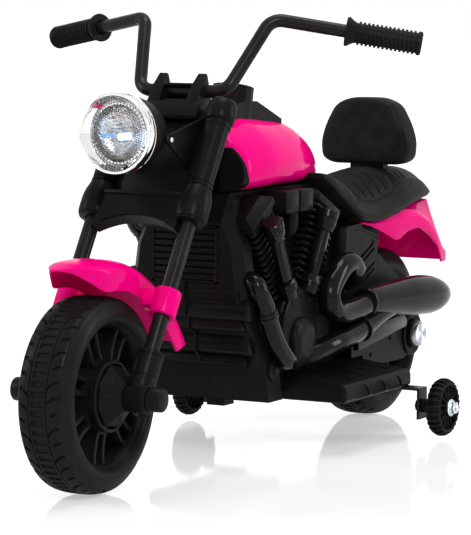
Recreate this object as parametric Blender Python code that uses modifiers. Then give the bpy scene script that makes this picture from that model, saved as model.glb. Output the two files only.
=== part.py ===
"""Kids ride-on motorcycle, one object per sub-part. Metres, +Z up, the front wheel towards -Y, +X its left side."""

import math

import bmesh
import bpy
from mathutils import Matrix, Vector

# Fits
GAP = 0.0003
RUNNING_GAP = 0.0006

# Stance
WHEELBASE = 0.680
FRONT_AXLE_Y = -0.358
RAKE = math.radians(32.0)
FORK_OFFSET = 0.020
FORK_HALF_WIDTH = 0.0587

# Road wheels
WHEEL_RADIUS = 0.105
WHEEL_WIDTH = 0.0575
RIM_RADIUS = 0.076
RIM_WALL = 0.003
HUB_RADIUS = 0.038
HUB_WIDTH = 0.060
AXLE_RADIUS = 0.005
SPOKE_PAIRS = 7
SPOKE_THICKNESS = 0.005
SPOKE_DEPTH = 0.030
TREAD_BAND = 0.017
TREAD_GROOVE = 0.003
TREAD_DEPTH = 0.0024
WHEEL_STEPS = 28
HUB_CAP_DEPTH = 0.0175
HUB_CAP_TIP_RADIUS = 0.017

# Fork
FORK_TUBE_RADIUS = 0.0085
FORK_TUBE_TOP = 0.338
FORK_END_RADIUS = 0.0155
FORK_NECK_RADIUS = 0.0098
FORK_END_TOP = 0.052
FORK_TUBE_FOOT = 0.030
AXLE_SLEEVE_RADIUS = 0.014
AXLE_SLEEVE_WIDTH = 0.025
AXLE_CAP_RADIUS = 0.0122
AXLE_CAP_DEPTH = 0.015
BARREL_TOP = 0.362
BARREL_BOTTOM = 0.205
BARREL_CAP_RADIUS = 0.0168
BARREL_RADIUS = 0.0137
BARREL_COLLAR_RADIUS = 0.0187
STEM_RADIUS = 0.010
HEAD_TUBE_RADIUS = 0.017
HEAD_TUBE_LOW = 0.2365
HEAD_TUBE_HIGH = 0.3250
PLATE_GAP = 0.0015
PLATE_THICKNESS = 0.019
PANEL_FRONT = -0.0270
PANEL_BACK = -0.0195

# Handlebar
BAR_RADIUS = 0.0078
BAR_LIFT = 0.0245
BAR_AHEAD = -0.0144
BAR_FOOT_HALF = 0.0536
BAR_SHOULDER_HALF = 0.0791
BAR_SHOULDER_BACK = -0.0075
BAR_RISE = 0.0975
GRIP_END_HALF = 0.2316
GRIP_END_BACK = 0.0590
GRIP_RISE = 0.1085
GRIP_LENGTH = 0.0845
BAR_BEND = 0.019
BAR_END_DEPTH = 0.004
GRIP_RADIUS = 0.0122
GRIP_RIBS = 5
GRIP_RIB_DEPTH = 0.0013
CLAMP_HALF_WIDTH = 0.036
CLAMP_OVER_BAR = 0.012

# Headlight
HEADLIGHT_PLACE = Vector((0.0, -0.1215, 0.2550))
HEADLIGHT_RADIUS = 0.043
LENS_RADIUS = 0.033
BEZEL_DEPTH = 0.018
BOWL_DEPTH = 0.060
EAR_HALF_WIDTH = 0.0340
EAR_THICKNESS = 0.0028
EAR_TIP = (-0.0653, 0.278)

# Front fender
FENDER_WALL = 0.0025
FENDER_SLEEVE_RADIUS = 0.0143
FENDER_SLEEVE_DROP = 0.010
FENDER_SLEEVE_LENGTH = 0.029
FRONT_FENDER_RISE = 0.0375

# Body
CORE_HALF_WIDTH = 0.044
BODY_WALL = 0.003
BELLY_HEIGHT = 0.068
BODY_FRONT_Y = -0.150
BODY_TOP = 0.3035
NECK_HALF_WIDTH = 0.032
RADIATOR_HALF_WIDTH = 0.073
SIDE_COVER_HALF_WIDTH = 0.0635
ARM_INNER = 0.036
ARM_OUTER = 0.062
BOSS_RADIUS = 0.027
LOUVRES = 4
GRILLE_SLATS = 6

# Footrests
FOOTREST_OUTER = 0.128
FOOTREST_FRONT = -0.002
FOOTREST_BACK = 0.178
FOOTREST_BOTTOM = 0.060
FOOTREST_TOP = 0.0915
FOOTREST_FALL = 0.0105
FOOTREST_RIBS = 4

# Engine
ENGINE_WALL = 0.006
CRANK_Y = -0.018
CRANK_Z = 0.131
CRANKCASE_RADIUS = 0.048
CRANKCASE_OUTER = 0.078
CAM_COVER_RADIUS = 0.0275
CAM_COVER_DEPTH = 0.0095
CYLINDER_OUTER = 0.073
CYLINDER_HALF_WIDTH = 0.028
FIN_COUNT = 8
FIN_THICKNESS = 0.0044
FIN_DEPTH = 0.0070
CYLINDER_LENGTH = 0.096
FRONT_CYLINDER_BASE = (-0.040, 0.187)
FRONT_CYLINDER_LEAN = math.radians(-35.0)
REAR_CYLINDER_BASE = (0.020, 0.187)
REAR_CYLINDER_LEAN = math.radians(25.0)
PUSHROD_RADIUS = 0.0065
PUSHROD_CAP_RADIUS = 0.0105

# Exhausts
EXHAUST_X = 0.091
UPPER_PIPE_RADIUS = 0.0130
LOWER_PIPE_RADIUS = 0.0115

# Tank, console and seat
TANK_BOTTOM = BODY_TOP + GAP
TANK_HALF_WIDTH = 0.072
TANK_HEIGHT = 0.089
TANK_FRONT_Y = -0.132
TANK_BACK_Y = 0.168
CONSOLE_HALF_WIDTH = 0.022
SEAT_FRONT_Y = 0.1305
SEAT_BACK_Y = 0.444
SEAT_BASE_Z = 0.2530
SEAT_SLOPE = 0.062
SEAT_HALF_WIDTH = 0.0745
SEAT_CHANNELS = 8
CHANNEL_DEPTH = 0.0030
PAD_BOTTOM = 0.3145
PAD_TOP = 0.395
PAD_HALF_WIDTH = 0.060
PAD_THICKNESS = 0.040
PAD_FRONT_Y = 0.306
POST_HALF_WIDTH = 0.0225
POST_THICKNESS = 0.014

# Rear fender
REAR_FENDER_HALF_WIDTH = 0.066
REAR_FENDER_HEM = 0.186
REAR_FENDER_BACK_Y = 0.4475
TAIL_LAMP_DEPTH = 0.005

# Training wheels
TRAINING_RADIUS = 0.0343
TRAINING_GAP = 0.004
TRAINING_Y = 0.176
TRAINING_INNER = 0.1605
TRAINING_WIDTH = 0.0185
TRAINING_STEPS = 20
TRAINING_SPOKES = 6
BRACKET_X = 0.141
BRACKET_REACH = 0.095
BRACKET_DROP = 0.037
BRACKET_THICKNESS = 0.003
BRACKET_WIDTH = 0.023
BOLT_RADIUS = 0.004

# Drive
BATTERY_SIZE = Vector((0.070, 0.047, 0.106))
MOTOR_RADIUS = 0.014
MOTOR_LENGTH = 0.052
MOTOR_Y = 0.186
MOTOR_Z = 0.125

# Places that follow from the sizes above
REAR_AXLE_Y = FRONT_AXLE_Y + WHEELBASE
AXLE_Z = WHEEL_RADIUS
PLATE_TOP = HEAD_TUBE_HIGH + PLATE_GAP + PLATE_THICKNESS
BAR_HEIGHT = PLATE_TOP + BAR_LIFT
BAR_SHOULDER = Vector((BAR_SHOULDER_HALF, BAR_SHOULDER_BACK, BAR_HEIGHT + BAR_RISE))
GRIP_END = Vector((GRIP_END_HALF, GRIP_END_BACK, BAR_HEIGHT + GRIP_RISE))
CLAMP_TOP = BAR_HEIGHT + CLAMP_OVER_BAR
FENDER_SLEEVE_LOW = WHEEL_RADIUS - FENDER_SLEEVE_DROP
FENDER_SLEEVE_HIGH = FENDER_SLEEVE_LOW + FENDER_SLEEVE_LENGTH
CENTRING = -(FRONT_AXLE_Y - WHEEL_RADIUS + REAR_FENDER_BACK_Y + TAIL_LAMP_DEPTH) / 2
ROUND = 16
SMOOTH_ANGLE = math.radians(35.0)
SIDE_VIEW = Matrix(((0, 0, 1, 0), (1, 0, 0, 0), (0, 1, 0, 0), (0, 0, 0, 1)))
FRONT_VIEW = Matrix(((1, 0, 0, 0), (0, 0, -1, 0), (0, 1, 0, 0), (0, 0, 0, 1)))

for leftover in list(bpy.data.objects):
    bpy.data.objects.remove(leftover)


def new_collection(name):
    made = bpy.data.collections.new(name)
    bpy.context.scene.collection.children.link(made)
    return made


PARTS = new_collection("kids_ride_on_motorcycle")
CUTTERS = new_collection("cutters")


def finish(name, colour, roughness, metallic=0.0):
    made = bpy.data.materials.new(name)
    made.use_nodes = True
    shader = made.node_tree.nodes["Principled BSDF"]
    shader.inputs["Base Color"].default_value = (*colour, 1.0)
    shader.inputs["Roughness"].default_value = roughness
    shader.inputs["Metallic"].default_value = metallic
    return made


PINK = finish("pink gloss plastic", (0.87, 0.0, 0.22), 0.18)
BLACK = finish("matt black plastic", (0.016, 0.015, 0.015), 0.55)
GLOSS = finish("gloss black plastic", (0.012, 0.011, 0.011), 0.22)
TYRE = finish("tyre plastic", (0.022, 0.021, 0.021), 0.65)
TUBE = finish("black painted steel", (0.014, 0.013, 0.013), 0.30, 0.3)
CHROME = finish("chrome plating", (0.78, 0.76, 0.74), 0.08, 1.0)
SILVER = finish("brushed silver", (0.55, 0.56, 0.60), 0.30, 1.0)
ZINC = finish("zinc plated steel", (0.60, 0.63, 0.66), 0.35, 1.0)
STEEL = finish("bright steel", (0.50, 0.50, 0.50), 0.35, 1.0)
LEATHER = finish("black leatherette", (0.018, 0.017, 0.017), 0.50)
CLEAR = finish("clear lens", (0.85, 0.88, 0.90), 0.05)
RED = finish("red lens", (0.45, 0.01, 0.01), 0.20)
GREY = finish("grey plastic", (0.20, 0.20, 0.20), 0.50)
WHITE = finish("white plastic", (0.75, 0.75, 0.75), 0.40)


def axis_empty(name, place, turn=(0.0, 0.0, 0.0), parent=None):
    made = bpy.data.objects.new(name, None)
    made.empty_display_size = 0.03
    made.location = place
    made.rotation_euler = turn
    made.parent = parent
    PARTS.objects.link(made)
    return made


def place(name, mesh, coat=None, parent=None, at=(0.0, 0.0, 0.0)):
    """Links a mesh as a sub-part, or as a hidden tool for a cut or a join when it has no coat."""
    piece = bpy.data.objects.new(name, mesh)
    piece.location = at
    piece.parent = parent
    if coat is None:
        CUTTERS.objects.link(piece)
        piece.hide_render = True
        piece.display_type = "WIRE"
    else:
        PARTS.objects.link(piece)
        mesh.materials.clear()
        mesh.materials.append(coat)
    return piece


def shaded(mesh):
    mesh.shade_smooth()
    mesh.set_sharp_from_angle(angle=SMOOTH_ANGLE)
    return mesh


def mesh_from(builder):
    bmesh.ops.recalc_face_normals(builder, faces=builder.faces)
    mesh = bpy.data.meshes.new("form")
    builder.to_mesh(mesh)
    builder.free()
    return shaded(mesh)


def block(low, high, bevel=0.0):
    """A box between two corners, its edges eased by the bevel."""
    low, high = Vector(low), Vector(high)
    size = Matrix.Diagonal((high - low).to_4d())
    size[3][3] = 1.0
    builder = bmesh.new()
    bmesh.ops.create_cube(builder, size=1.0, matrix=Matrix.Translation((low + high) / 2) @ size)
    if bevel > 0.0:
        bmesh.ops.bevel(
            builder, geom=list(builder.edges), offset=bevel, segments=2, affect="EDGES", profile=0.5
        )
    return mesh_from(builder)


def rod(start, end, radius, end_radius=None, sides=ROUND):
    """A round bar between two points, tapered where the end radius differs."""
    start, end = Vector(start), Vector(end)
    run = end - start
    builder = bmesh.new()
    bmesh.ops.create_cone(
        builder,
        cap_ends=True,
        segments=sides,
        radius1=radius,
        radius2=radius if end_radius is None else end_radius,
        depth=run.length,
        matrix=Matrix.Translation((start + end) / 2) @ run.to_track_quat("Z", "Y").to_matrix().to_4x4(),
    )
    return mesh_from(builder)


def mesh_of_curve(curve):
    """The solid mesh of a curve, with its loose caps welded on."""
    holder = bpy.data.objects.new("curve", curve)
    CUTTERS.objects.link(holder)
    graph = bpy.context.evaluated_depsgraph_get()
    mesh = bpy.data.meshes.new_from_object(holder.evaluated_get(graph))
    bpy.data.objects.remove(holder)
    builder = bmesh.new()
    builder.from_mesh(mesh)
    bmesh.ops.remove_doubles(builder, verts=builder.verts, dist=0.00001)
    return mesh_from(builder)


def prism(outline, low, high, view=SIDE_VIEW):
    """A flat outline given its thickness from low to high. The side view draws (y, z) and runs along X."""
    curve = bpy.data.curves.new("outline", "CURVE")
    curve.dimensions = "2D"
    curve.fill_mode = "BOTH"
    curve.extrude = (high - low) / 2
    spline = curve.splines.new("POLY")
    spline.points.add(len(outline) - 1)
    for point, (across, up) in zip(spline.points, outline):
        point.co = (across, up, 0.0, 1.0)
    spline.use_cyclic_u = True
    mesh = mesh_of_curve(curve)
    mesh.transform(view @ Matrix.Translation((0.0, 0.0, (low + high) / 2)))
    return mesh


def tube(points, radius, radii=None, resolution=2):
    """A tube through the points; radii holds each point's share of the radius."""
    curve = bpy.data.curves.new("tube", "CURVE")
    curve.dimensions = "3D"
    curve.bevel_depth = radius
    curve.bevel_resolution = resolution
    curve.use_fill_caps = True
    spline = curve.splines.new("POLY")
    spline.points.add(len(points) - 1)
    for index, (point, spot) in enumerate(zip(spline.points, points)):
        point.co = (*spot, 1.0)
        point.radius = 1.0 if radii is None else radii[index]
    return mesh_of_curve(curve)


def smooth_path(points, steps):
    """Points read from a smooth curve through the given ones."""
    points = [Vector(point) for point in points]
    ends = [2 * points[0] - points[1], *points, 2 * points[-1] - points[-2]]
    path = []
    for before, start, end, after in zip(ends, ends[1:], ends[2:], ends[3:]):
        for step in range(steps):
            share = step / steps
            bend = 2 * start + (end - before) * share
            bend += (2 * before - 5 * start + 4 * end - after) * share**2
            bend += (3 * start - before - 3 * end + after) * share**3
            path.append(bend / 2)
    path.append(points[-1])
    return path


def bent_path(corners, bend, steps=5):
    """Straight runs joined by arcs of one bend radius, as a bent tube is made."""
    path = [corners[0]]
    for before, corner, after in zip(corners, corners[1:], corners[2:]):
        back = (before - corner).normalized()
        ahead = (after - corner).normalized()
        half = back.angle(ahead) / 2
        centre = corner + (back + ahead).normalized() * bend / math.sin(half)
        start = (corner + back * bend / math.tan(half) - centre).normalized()
        end = (corner + ahead * bend / math.tan(half) - centre).normalized()
        path += [centre + start.slerp(end, step / steps) * bend for step in range(steps + 1)]
    path.append(corners[-1])
    return path


def loft(rings):
    """A closed skin over rings that hold the same number of points, with flat ends."""
    builder = bmesh.new()
    loops = [[builder.verts.new(point) for point in ring] for ring in rings]
    for here, there in zip(loops, loops[1:]):
        for index in range(len(here)):
            following = (index + 1) % len(here)
            builder.faces.new((here[index], here[following], there[following], there[index]))
    builder.faces.new(loops[0])
    builder.faces.new(loops[-1])
    return mesh_from(builder)


def turned(name, profile, steps=ROUND, axis="X", closed=False, **where):
    """A turned shape. A profile point is (place along the axis, radius), from the far end down the outer side."""
    if axis == "X":
        spots = [(along, radius, 0.0) for along, radius in profile]
    else:
        spots = [(radius, 0.0, along) for along, radius in profile]
    edges = [(index, index + 1) for index in range(len(spots) - 1)]
    if closed:
        edges.append((len(spots) - 1, 0))
    mesh = bpy.data.meshes.new("profile")
    mesh.from_pydata(spots, edges, [])
    piece = place(name, mesh, **where)
    screw = piece.modifiers.new("Turn", "SCREW")
    screw.axis = axis
    screw.steps = steps
    screw.render_steps = steps
    screw.use_merge_vertices = True
    screw.merge_threshold = 0.00001
    return piece


def combine(piece, operation, *others):
    for other in others:
        modifier = piece.modifiers.new(operation.title(), "BOOLEAN")
        modifier.operation = operation
        modifier.object = other
    return piece


def join(piece, *others):
    return combine(piece, "UNION", *others)


def cut(piece, *others):
    return combine(piece, "DIFFERENCE", *others)


def mirrored(piece, name):
    """The right-hand copy of a left-hand piece."""
    graph = bpy.context.evaluated_depsgraph_get()
    mesh = bpy.data.meshes.new_from_object(piece.evaluated_get(graph))
    mesh.transform(Matrix.Scale(-1.0, 4, (1.0, 0.0, 0.0)))
    mesh.flip_normals()
    across = (-piece.location.x, piece.location.y, piece.location.z)
    return place(name, mesh, piece.data.materials[0], piece.parent, across)


def many(meshes):
    """Several loose forms as one mesh."""
    builder = bmesh.new()
    for mesh in meshes:
        builder.from_mesh(mesh)
    return mesh_from(builder)


def turn_x(angle):
    return Matrix.Rotation(angle, 4, "X")


# Empties that carry the moving groups
fork_line = Vector((0.0, math.sin(RAKE), math.cos(RAKE)))
fork_back = Vector((0.0, math.cos(RAKE), -math.sin(RAKE)))
front_axle_place = Vector((0.0, FRONT_AXLE_Y, AXLE_Z))
STEERING = axis_empty("steering_axis", front_axle_place + fork_back * FORK_OFFSET, (-RAKE, 0.0, 0.0))
FRONT_AXLE = axis_empty("front_axle_axis", (0.0, -FORK_OFFSET, 0.0), parent=STEERING)
REAR_AXLE = axis_empty("rear_axle_axis", (0.0, REAR_AXLE_Y, AXLE_Z))
HEADLIGHT = axis_empty("headlight_axis", HEADLIGHT_PLACE, (RAKE + math.pi / 2, 0.0, 0.0), STEERING)


def half_profile(side):
    """A profile that is the same on both sides of the wheel's middle, from its left face to its right."""
    return side + [(-along, radius) for along, radius in reversed(side)]


def spokes():
    """Twin spokes from the hub drum into the rim wall."""
    start = HUB_RADIUS - 0.002
    end = RIM_RADIUS - RIM_WALL / 2
    meshes = []
    for pair in range(SPOKE_PAIRS):
        for side in (-1, 1):
            rings = []
            for reach, offset in ((start, 0.0075), (end, 0.0095)):
                low = side * offset - SPOKE_THICKNESS / 2
                high = side * offset + SPOKE_THICKNESS / 2
                rings.append(
                    [
                        Vector((-SPOKE_DEPTH / 2, low, reach)),
                        Vector((SPOKE_DEPTH / 2, low, reach)),
                        Vector((SPOKE_DEPTH / 2, high, reach)),
                        Vector((-SPOKE_DEPTH / 2, high, reach)),
                    ]
                )
            mesh = loft(rings)
            mesh.transform(turn_x(2 * math.pi * pair / SPOKE_PAIRS))
            meshes.append(mesh)
    return many(meshes)


def build_wheel(name, parent):
    half = WHEEL_WIDTH / 2
    band = TREAD_BAND / 2
    side = [
        (half - 0.0070, RIM_RADIUS),
        (half, WHEEL_RADIUS - 0.018),
        (half - 0.0095, WHEEL_RADIUS - 0.0020),
        (band + TREAD_GROOVE, WHEEL_RADIUS),
        (band + TREAD_GROOVE / 2, WHEEL_RADIUS - TREAD_DEPTH),
        (band, WHEEL_RADIUS),
    ]
    barrel = [(-(half - 0.010), RIM_RADIUS - RIM_WALL), (half - 0.010, RIM_RADIUS - RIM_WALL)]
    wheel = turned(
        name, half_profile(side) + barrel, WHEEL_STEPS, closed=True, coat=TYRE, parent=parent
    )
    hub = turned(
        name + "_hub",
        [
            (HUB_WIDTH / 2, HUB_RADIUS),
            (-HUB_WIDTH / 2, HUB_RADIUS),
            (-HUB_WIDTH / 2, AXLE_RADIUS + RUNNING_GAP),
            (HUB_WIDTH / 2, AXLE_RADIUS + RUNNING_GAP),
        ],
        closed=True,
        parent=parent,
    )
    join(hub, place(name + "_spokes", spokes(), parent=parent))
    return join(wheel, hub)


def build_hub_cap():
    """The eight-sided cone on each face of the front wheel."""
    base = HUB_WIDTH / 2 + GAP
    cap = place(
        "hub_cap_left",
        rod((base, 0.0, 0.0), (base + HUB_CAP_DEPTH, 0.0, 0.0), HUB_RADIUS - 0.001, HUB_CAP_TIP_RADIUS, 8),
        BLACK,
        FRONT_AXLE,
    )
    bore = rod((0.0, 0.0, 0.0), (0.1, 0.0, 0.0), AXLE_RADIUS + RUNNING_GAP, sides=16)
    cut(cap, place("hub_cap_bore", bore, parent=FRONT_AXLE))
    mirrored(cap, "hub_cap_right")


def build_front_axle():
    reach = HUB_WIDTH / 2 + HUB_CAP_DEPTH + 0.001 + AXLE_SLEEVE_WIDTH + 0.008
    place("front_axle", rod((-reach, 0, 0), (reach, 0, 0), AXLE_RADIUS, sides=16), STEEL, FRONT_AXLE)
    inner = HUB_WIDTH / 2 + HUB_CAP_DEPTH + 0.001
    outer = inner + AXLE_SLEEVE_WIDTH
    line = (FORK_HALF_WIDTH, 0.0)
    end = turned(
        "fork_end_left",
        [
            (FORK_END_TOP, 0.0),
            (FORK_END_TOP, FORK_END_RADIUS - 0.0015),
            (FORK_END_TOP - 0.0015, FORK_END_RADIUS),
            (0.030, FORK_END_RADIUS),
            (0.022, FORK_NECK_RADIUS),
            (0.0, FORK_NECK_RADIUS),
            (0.0, 0.0),
        ],
        axis="Z",
        coat=BLACK,
        parent=FRONT_AXLE,
        at=(FORK_HALF_WIDTH, 0.0, 0.0),
    )
    sleeve = rod((inner, 0, 0), (outer, 0, 0), AXLE_SLEEVE_RADIUS)
    join(end, place("fork_end_sleeve", sleeve, parent=FRONT_AXLE))
    tube_seat = rod((*line, FORK_TUBE_FOOT - GAP), (*line, 0.1), FORK_TUBE_RADIUS + GAP)
    axle_seat = rod((0.0, 0.0, 0.0), (0.2, 0.0, 0.0), AXLE_RADIUS + GAP, sides=16)
    cut(
        end,
        place("fork_end_tube_seat", tube_seat, parent=FRONT_AXLE),
        place("fork_end_axle_seat", axle_seat, parent=FRONT_AXLE),
    )
    mirrored(end, "fork_end_right")
    cap = turned(
        "axle_cap_left",
        [
            (outer + GAP + AXLE_CAP_DEPTH, 0.0),
            (outer + GAP + AXLE_CAP_DEPTH, AXLE_CAP_RADIUS - 0.0015),
            (outer + GAP + AXLE_CAP_DEPTH - 0.0015, AXLE_CAP_RADIUS),
            (outer + GAP, AXLE_CAP_RADIUS),
            (outer + GAP, AXLE_RADIUS + GAP),
            (reach + GAP, AXLE_RADIUS + GAP),
            (reach + GAP, 0.0),
        ],
        coat=GLOSS,
        parent=FRONT_AXLE,
    )
    mirrored(cap, "axle_cap_right")


def build_fork_tubes():
    for side, name in ((1, "fork_tube_left"), (-1, "fork_tube_right")):
        where = (side * FORK_HALF_WIDTH, -FORK_OFFSET)
        place(name, rod((*where, FORK_TUBE_FOOT), (*where, FORK_TUBE_TOP), FORK_TUBE_RADIUS), TUBE, STEERING)


def barrel_profile():
    return [
        (BARREL_TOP, 0.0),
        (BARREL_TOP, BARREL_CAP_RADIUS - 0.004),
        (BARREL_TOP - 0.005, BARREL_CAP_RADIUS),
        (BARREL_TOP - 0.021, BARREL_CAP_RADIUS),
        (BARREL_TOP - 0.025, BARREL_RADIUS),
        (BARREL_BOTTOM + 0.044, BARREL_RADIUS),
        (BARREL_BOTTOM + 0.024, BARREL_COLLAR_RADIUS),
        (BARREL_BOTTOM + 0.004, BARREL_COLLAR_RADIUS),
        (BARREL_BOTTOM, BARREL_COLLAR_RADIUS - 0.003),
        (BARREL_BOTTOM, FORK_TUBE_RADIUS + GAP),
        (FORK_TUBE_TOP + GAP, FORK_TUBE_RADIUS + GAP),
        (FORK_TUBE_TOP + GAP, 0.0),
    ]


def build_fork_cover():
    """The moulded yoke: two barrels over the tubes, the flat panel, the top plate, the bridge and the lamp ears."""
    reach = FORK_HALF_WIDTH - BARREL_RADIUS * 0.6
    plate_top = PLATE_TOP
    bridge_top = HEAD_TUBE_LOW - PLATE_GAP
    cover = place(
        "fork_cover",
        block((-reach, PANEL_FRONT, BARREL_BOTTOM + 0.036), (reach, PANEL_BACK, plate_top - 0.004)),
        BLACK,
        STEERING,
    )
    plate = block((-reach, PANEL_FRONT - 0.002, plate_top - PLATE_THICKNESS), (reach, 0.016, plate_top), 0.001)
    bridge = block((-reach, PANEL_FRONT - 0.006, BARREL_BOTTOM + 0.002), (reach, 0.015, bridge_top), 0.002)
    bridge_piece = place("fork_bridge", bridge, parent=STEERING)
    arch_drop = 0.062
    arch = rod((0, -0.1, BARREL_BOTTOM - arch_drop), (0, 0.1, BARREL_BOTTOM - arch_drop), arch_drop + 0.010)
    cut(bridge_piece, place("fork_bridge_arch", arch, parent=STEERING))
    join(cover, place("fork_top_plate", plate, parent=STEERING), bridge_piece)
    seat_radius = STEM_RADIUS + GAP
    stem_seat = rod((0, 0, bridge_top - 0.010 - GAP), (0, 0, plate_top - 0.005 + GAP), seat_radius)
    cut(cover, place("stem_seat", stem_seat, parent=STEERING))
    ear = [EAR_TIP, (EAR_TIP[0] + 0.004, EAR_TIP[1] + 0.007), (PANEL_BACK, EAR_TIP[1] + 0.0565)]
    ear += [(PANEL_BACK, EAR_TIP[1] - 0.004), (EAR_TIP[0] + 0.006, EAR_TIP[1] - 0.005)]
    for side in (1, -1):
        barrel = turned(
            "fork_barrel",
            barrel_profile(),
            12,
            axis="Z",
            parent=STEERING,
            at=(side * FORK_HALF_WIDTH, -FORK_OFFSET, 0.0),
        )
        low, high = sorted((side * EAR_HALF_WIDTH, side * (EAR_HALF_WIDTH + EAR_THICKNESS)))
        join(cover, barrel, place("lamp_ear", prism(ear, low, high), parent=STEERING))
        tube_seat = rod(
            (side * FORK_HALF_WIDTH, -FORK_OFFSET, 0.1),
            (side * FORK_HALF_WIDTH, -FORK_OFFSET, FORK_TUBE_TOP + GAP),
            FORK_TUBE_RADIUS + GAP,
        )
        cut(cover, place("barrel_seat", tube_seat, parent=STEERING))
    stem_low, stem_high = bridge_top - 0.010, plate_top - 0.005
    place("steering_stem", rod((0, 0, stem_low), (0, 0, stem_high), STEM_RADIUS), STEEL, STEERING)
    return plate_top


def grip_run():
    """The direction of the left grip, in line with the bar's upper run."""
    return (GRIP_END - BAR_SHOULDER).normalized()


def build_handlebar(plate_top):
    foot = Vector((BAR_FOOT_HALF, BAR_AHEAD, BAR_HEIGHT))
    stop = GRIP_END - grip_run() * BAR_END_DEPTH
    half = [foot, BAR_SHOULDER, stop]
    corners = [Vector((-spot.x, spot.y, spot.z)) for spot in reversed(half)] + half
    place("handlebar", tube(bent_path(corners, BAR_BEND, 4), BAR_RADIUS, resolution=2), TUBE, STEERING)
    front, back = PANEL_FRONT - 0.004, BAR_AHEAD + BAR_RADIUS + 0.008
    low = plate_top + GAP
    clamp = place(
        "handlebar_clamp",
        block((-CLAMP_HALF_WIDTH, front, low), (CLAMP_HALF_WIDTH, back, CLAMP_TOP), 0.001),
        BLACK,
        STEERING,
    )
    window_half = 0.018
    strip_low, strip_high = BAR_HEIGHT - 0.005, BAR_HEIGHT - 0.001
    cut(
        clamp,
        place(
            "clamp_saddle",
            block((-window_half, -0.2, strip_high), (window_half, 0.2, CLAMP_TOP + 0.01)),
            parent=STEERING,
        ),
        place(
            "clamp_window",
            block((-window_half, front - 0.01, low + 0.003), (window_half, front + 0.016, strip_low)),
            parent=STEERING,
        ),
        place(
            "clamp_bore",
            rod((-0.1, BAR_AHEAD, BAR_HEIGHT), (0.1, BAR_AHEAD, BAR_HEIGHT), BAR_RADIUS + GAP),
            parent=STEERING,
        ),
    )


def build_grips():
    """Ribbed grips with a round flange at the inner end, each a blind sleeve over the bar."""
    run = grip_run()
    length = GRIP_LENGTH
    bore = (BAR_RADIUS + GAP) / math.cos(math.pi / 12)
    profile = [(length, 0.0), (length, GRIP_RADIUS - 0.001), (length - 0.0015, GRIP_RADIUS + 0.0022)]
    profile += [(length - 0.0045, GRIP_RADIUS + 0.0022)]
    ribs_start, ribs_end = length - 0.009, 0.009
    pitch = (ribs_start - ribs_end) / GRIP_RIBS
    for rib in range(GRIP_RIBS):
        crest = ribs_start - rib * pitch
        profile += [(crest, GRIP_RADIUS), (crest - pitch / 2, GRIP_RADIUS - GRIP_RIB_DEPTH)]
    profile += [(0.0050, GRIP_RADIUS), (0.0040, GRIP_RADIUS + 0.0042), (0.0, GRIP_RADIUS + 0.0042)]
    profile += [(0.0, bore)]
    profile += [(length - BAR_END_DEPTH + GAP, bore), (length - BAR_END_DEPTH + GAP, 0.0)]
    for side, name in ((1, "grip_left"), (-1, "grip_right")):
        grip = turned(name, profile, 12, axis="Z", coat=BLACK, parent=STEERING)
        direction = Vector((side * run.x, run.y, run.z))
        start = GRIP_END - run * length
        grip.location = (side * start.x, start.y, start.z)
        grip.rotation_mode = "QUATERNION"
        grip.rotation_quaternion = direction.to_track_quat("Z", "Y")


def build_headlight():
    """Bowl, chrome bezel, lens and reflector, turned about the lamp's own axis."""
    rim = HEADLIGHT_RADIUS
    back = -BEZEL_DEPTH - GAP
    bowl_rim = rim - 0.0025
    wall = 0.0022
    bend = 4
    outer, inner = [], []
    for step in range(bend + 1):
        turn = math.pi / 2 * step / bend
        share = max(0.0, math.cos(turn)) ** 0.8 if step < bend else 0.0
        outer.append((back - BOWL_DEPTH * math.sin(turn), bowl_rim * share))
        inner.append((back - (BOWL_DEPTH - wall) * math.sin(turn), (bowl_rim - wall) * share))
    bowl = turned("headlight_bowl", inner[::-1] + outer, axis="Z", coat=BLACK, parent=HEADLIGHT)
    tip = Vector((0.0, EAR_TIP[0] + 0.006, EAR_TIP[1] + 0.0005))
    for side in (1, -1):
        start = tip + Vector((side * (EAR_HALF_WIDTH - 0.016), 0.0, 0.0))
        end = tip + Vector((side * (EAR_HALF_WIDTH - GAP), 0.0, 0.0))
        join(bowl, place("bowl_boss", rod(start, end, 0.0045, sides=12), parent=STEERING))
    flange = (bowl_rim - wall) * math.cos(math.pi / ROUND) - GAP
    turned(
        "headlight_bezel",
        [
            (0.0, rim - 0.002),
            (-0.0012, rim),
            (-BEZEL_DEPTH + 0.003, rim),
            (-BEZEL_DEPTH, rim - 0.0015),
            (-BEZEL_DEPTH, LENS_RADIUS),
            (-0.0100, LENS_RADIUS),
            (-0.0020, rim - 0.0045),
        ],
        24,
        axis="Z",
        closed=True,
        coat=CHROME,
        parent=HEADLIGHT,
    )
    lens_rim = LENS_RADIUS - GAP
    dome = [(-0.0070 - 0.0035 * (step / 3) ** 2, lens_rim * step / 3) for step in range(4)]
    turned(
        "headlight_lens",
        dome + [(-0.0145, lens_rim), (-0.0130, 0.0)],
        axis="Z",
        coat=CLEAR,
        parent=HEADLIGHT,
    )
    turns = [math.pi / 2 * step / 3 for step in range(4)]
    cup = [(back - 0.0215 * math.cos(turn), 0.0300 * math.sin(turn)) for turn in turns]
    cup_back = [(along - 0.0015, radius) for along, radius in reversed(cup[:-1])]
    turned(
        "headlight_reflector",
        cup + [(back, flange), (back - 0.0015, flange), (back - 0.0015, 0.0312)] + cup_back,
        axis="Z",
        coat=CHROME,
        parent=HEADLIGHT,
    )


def arc_point(radius, angle, across, rest=0.0):
    """A point at an angle round the front axle: 0 is straight back, 90 degrees straight up."""
    world = Vector((0.0, radius * math.cos(angle), radius * math.sin(angle)))
    return Vector((across, world.dot(fork_back) - rest, world.dot(fork_line)))


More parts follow.
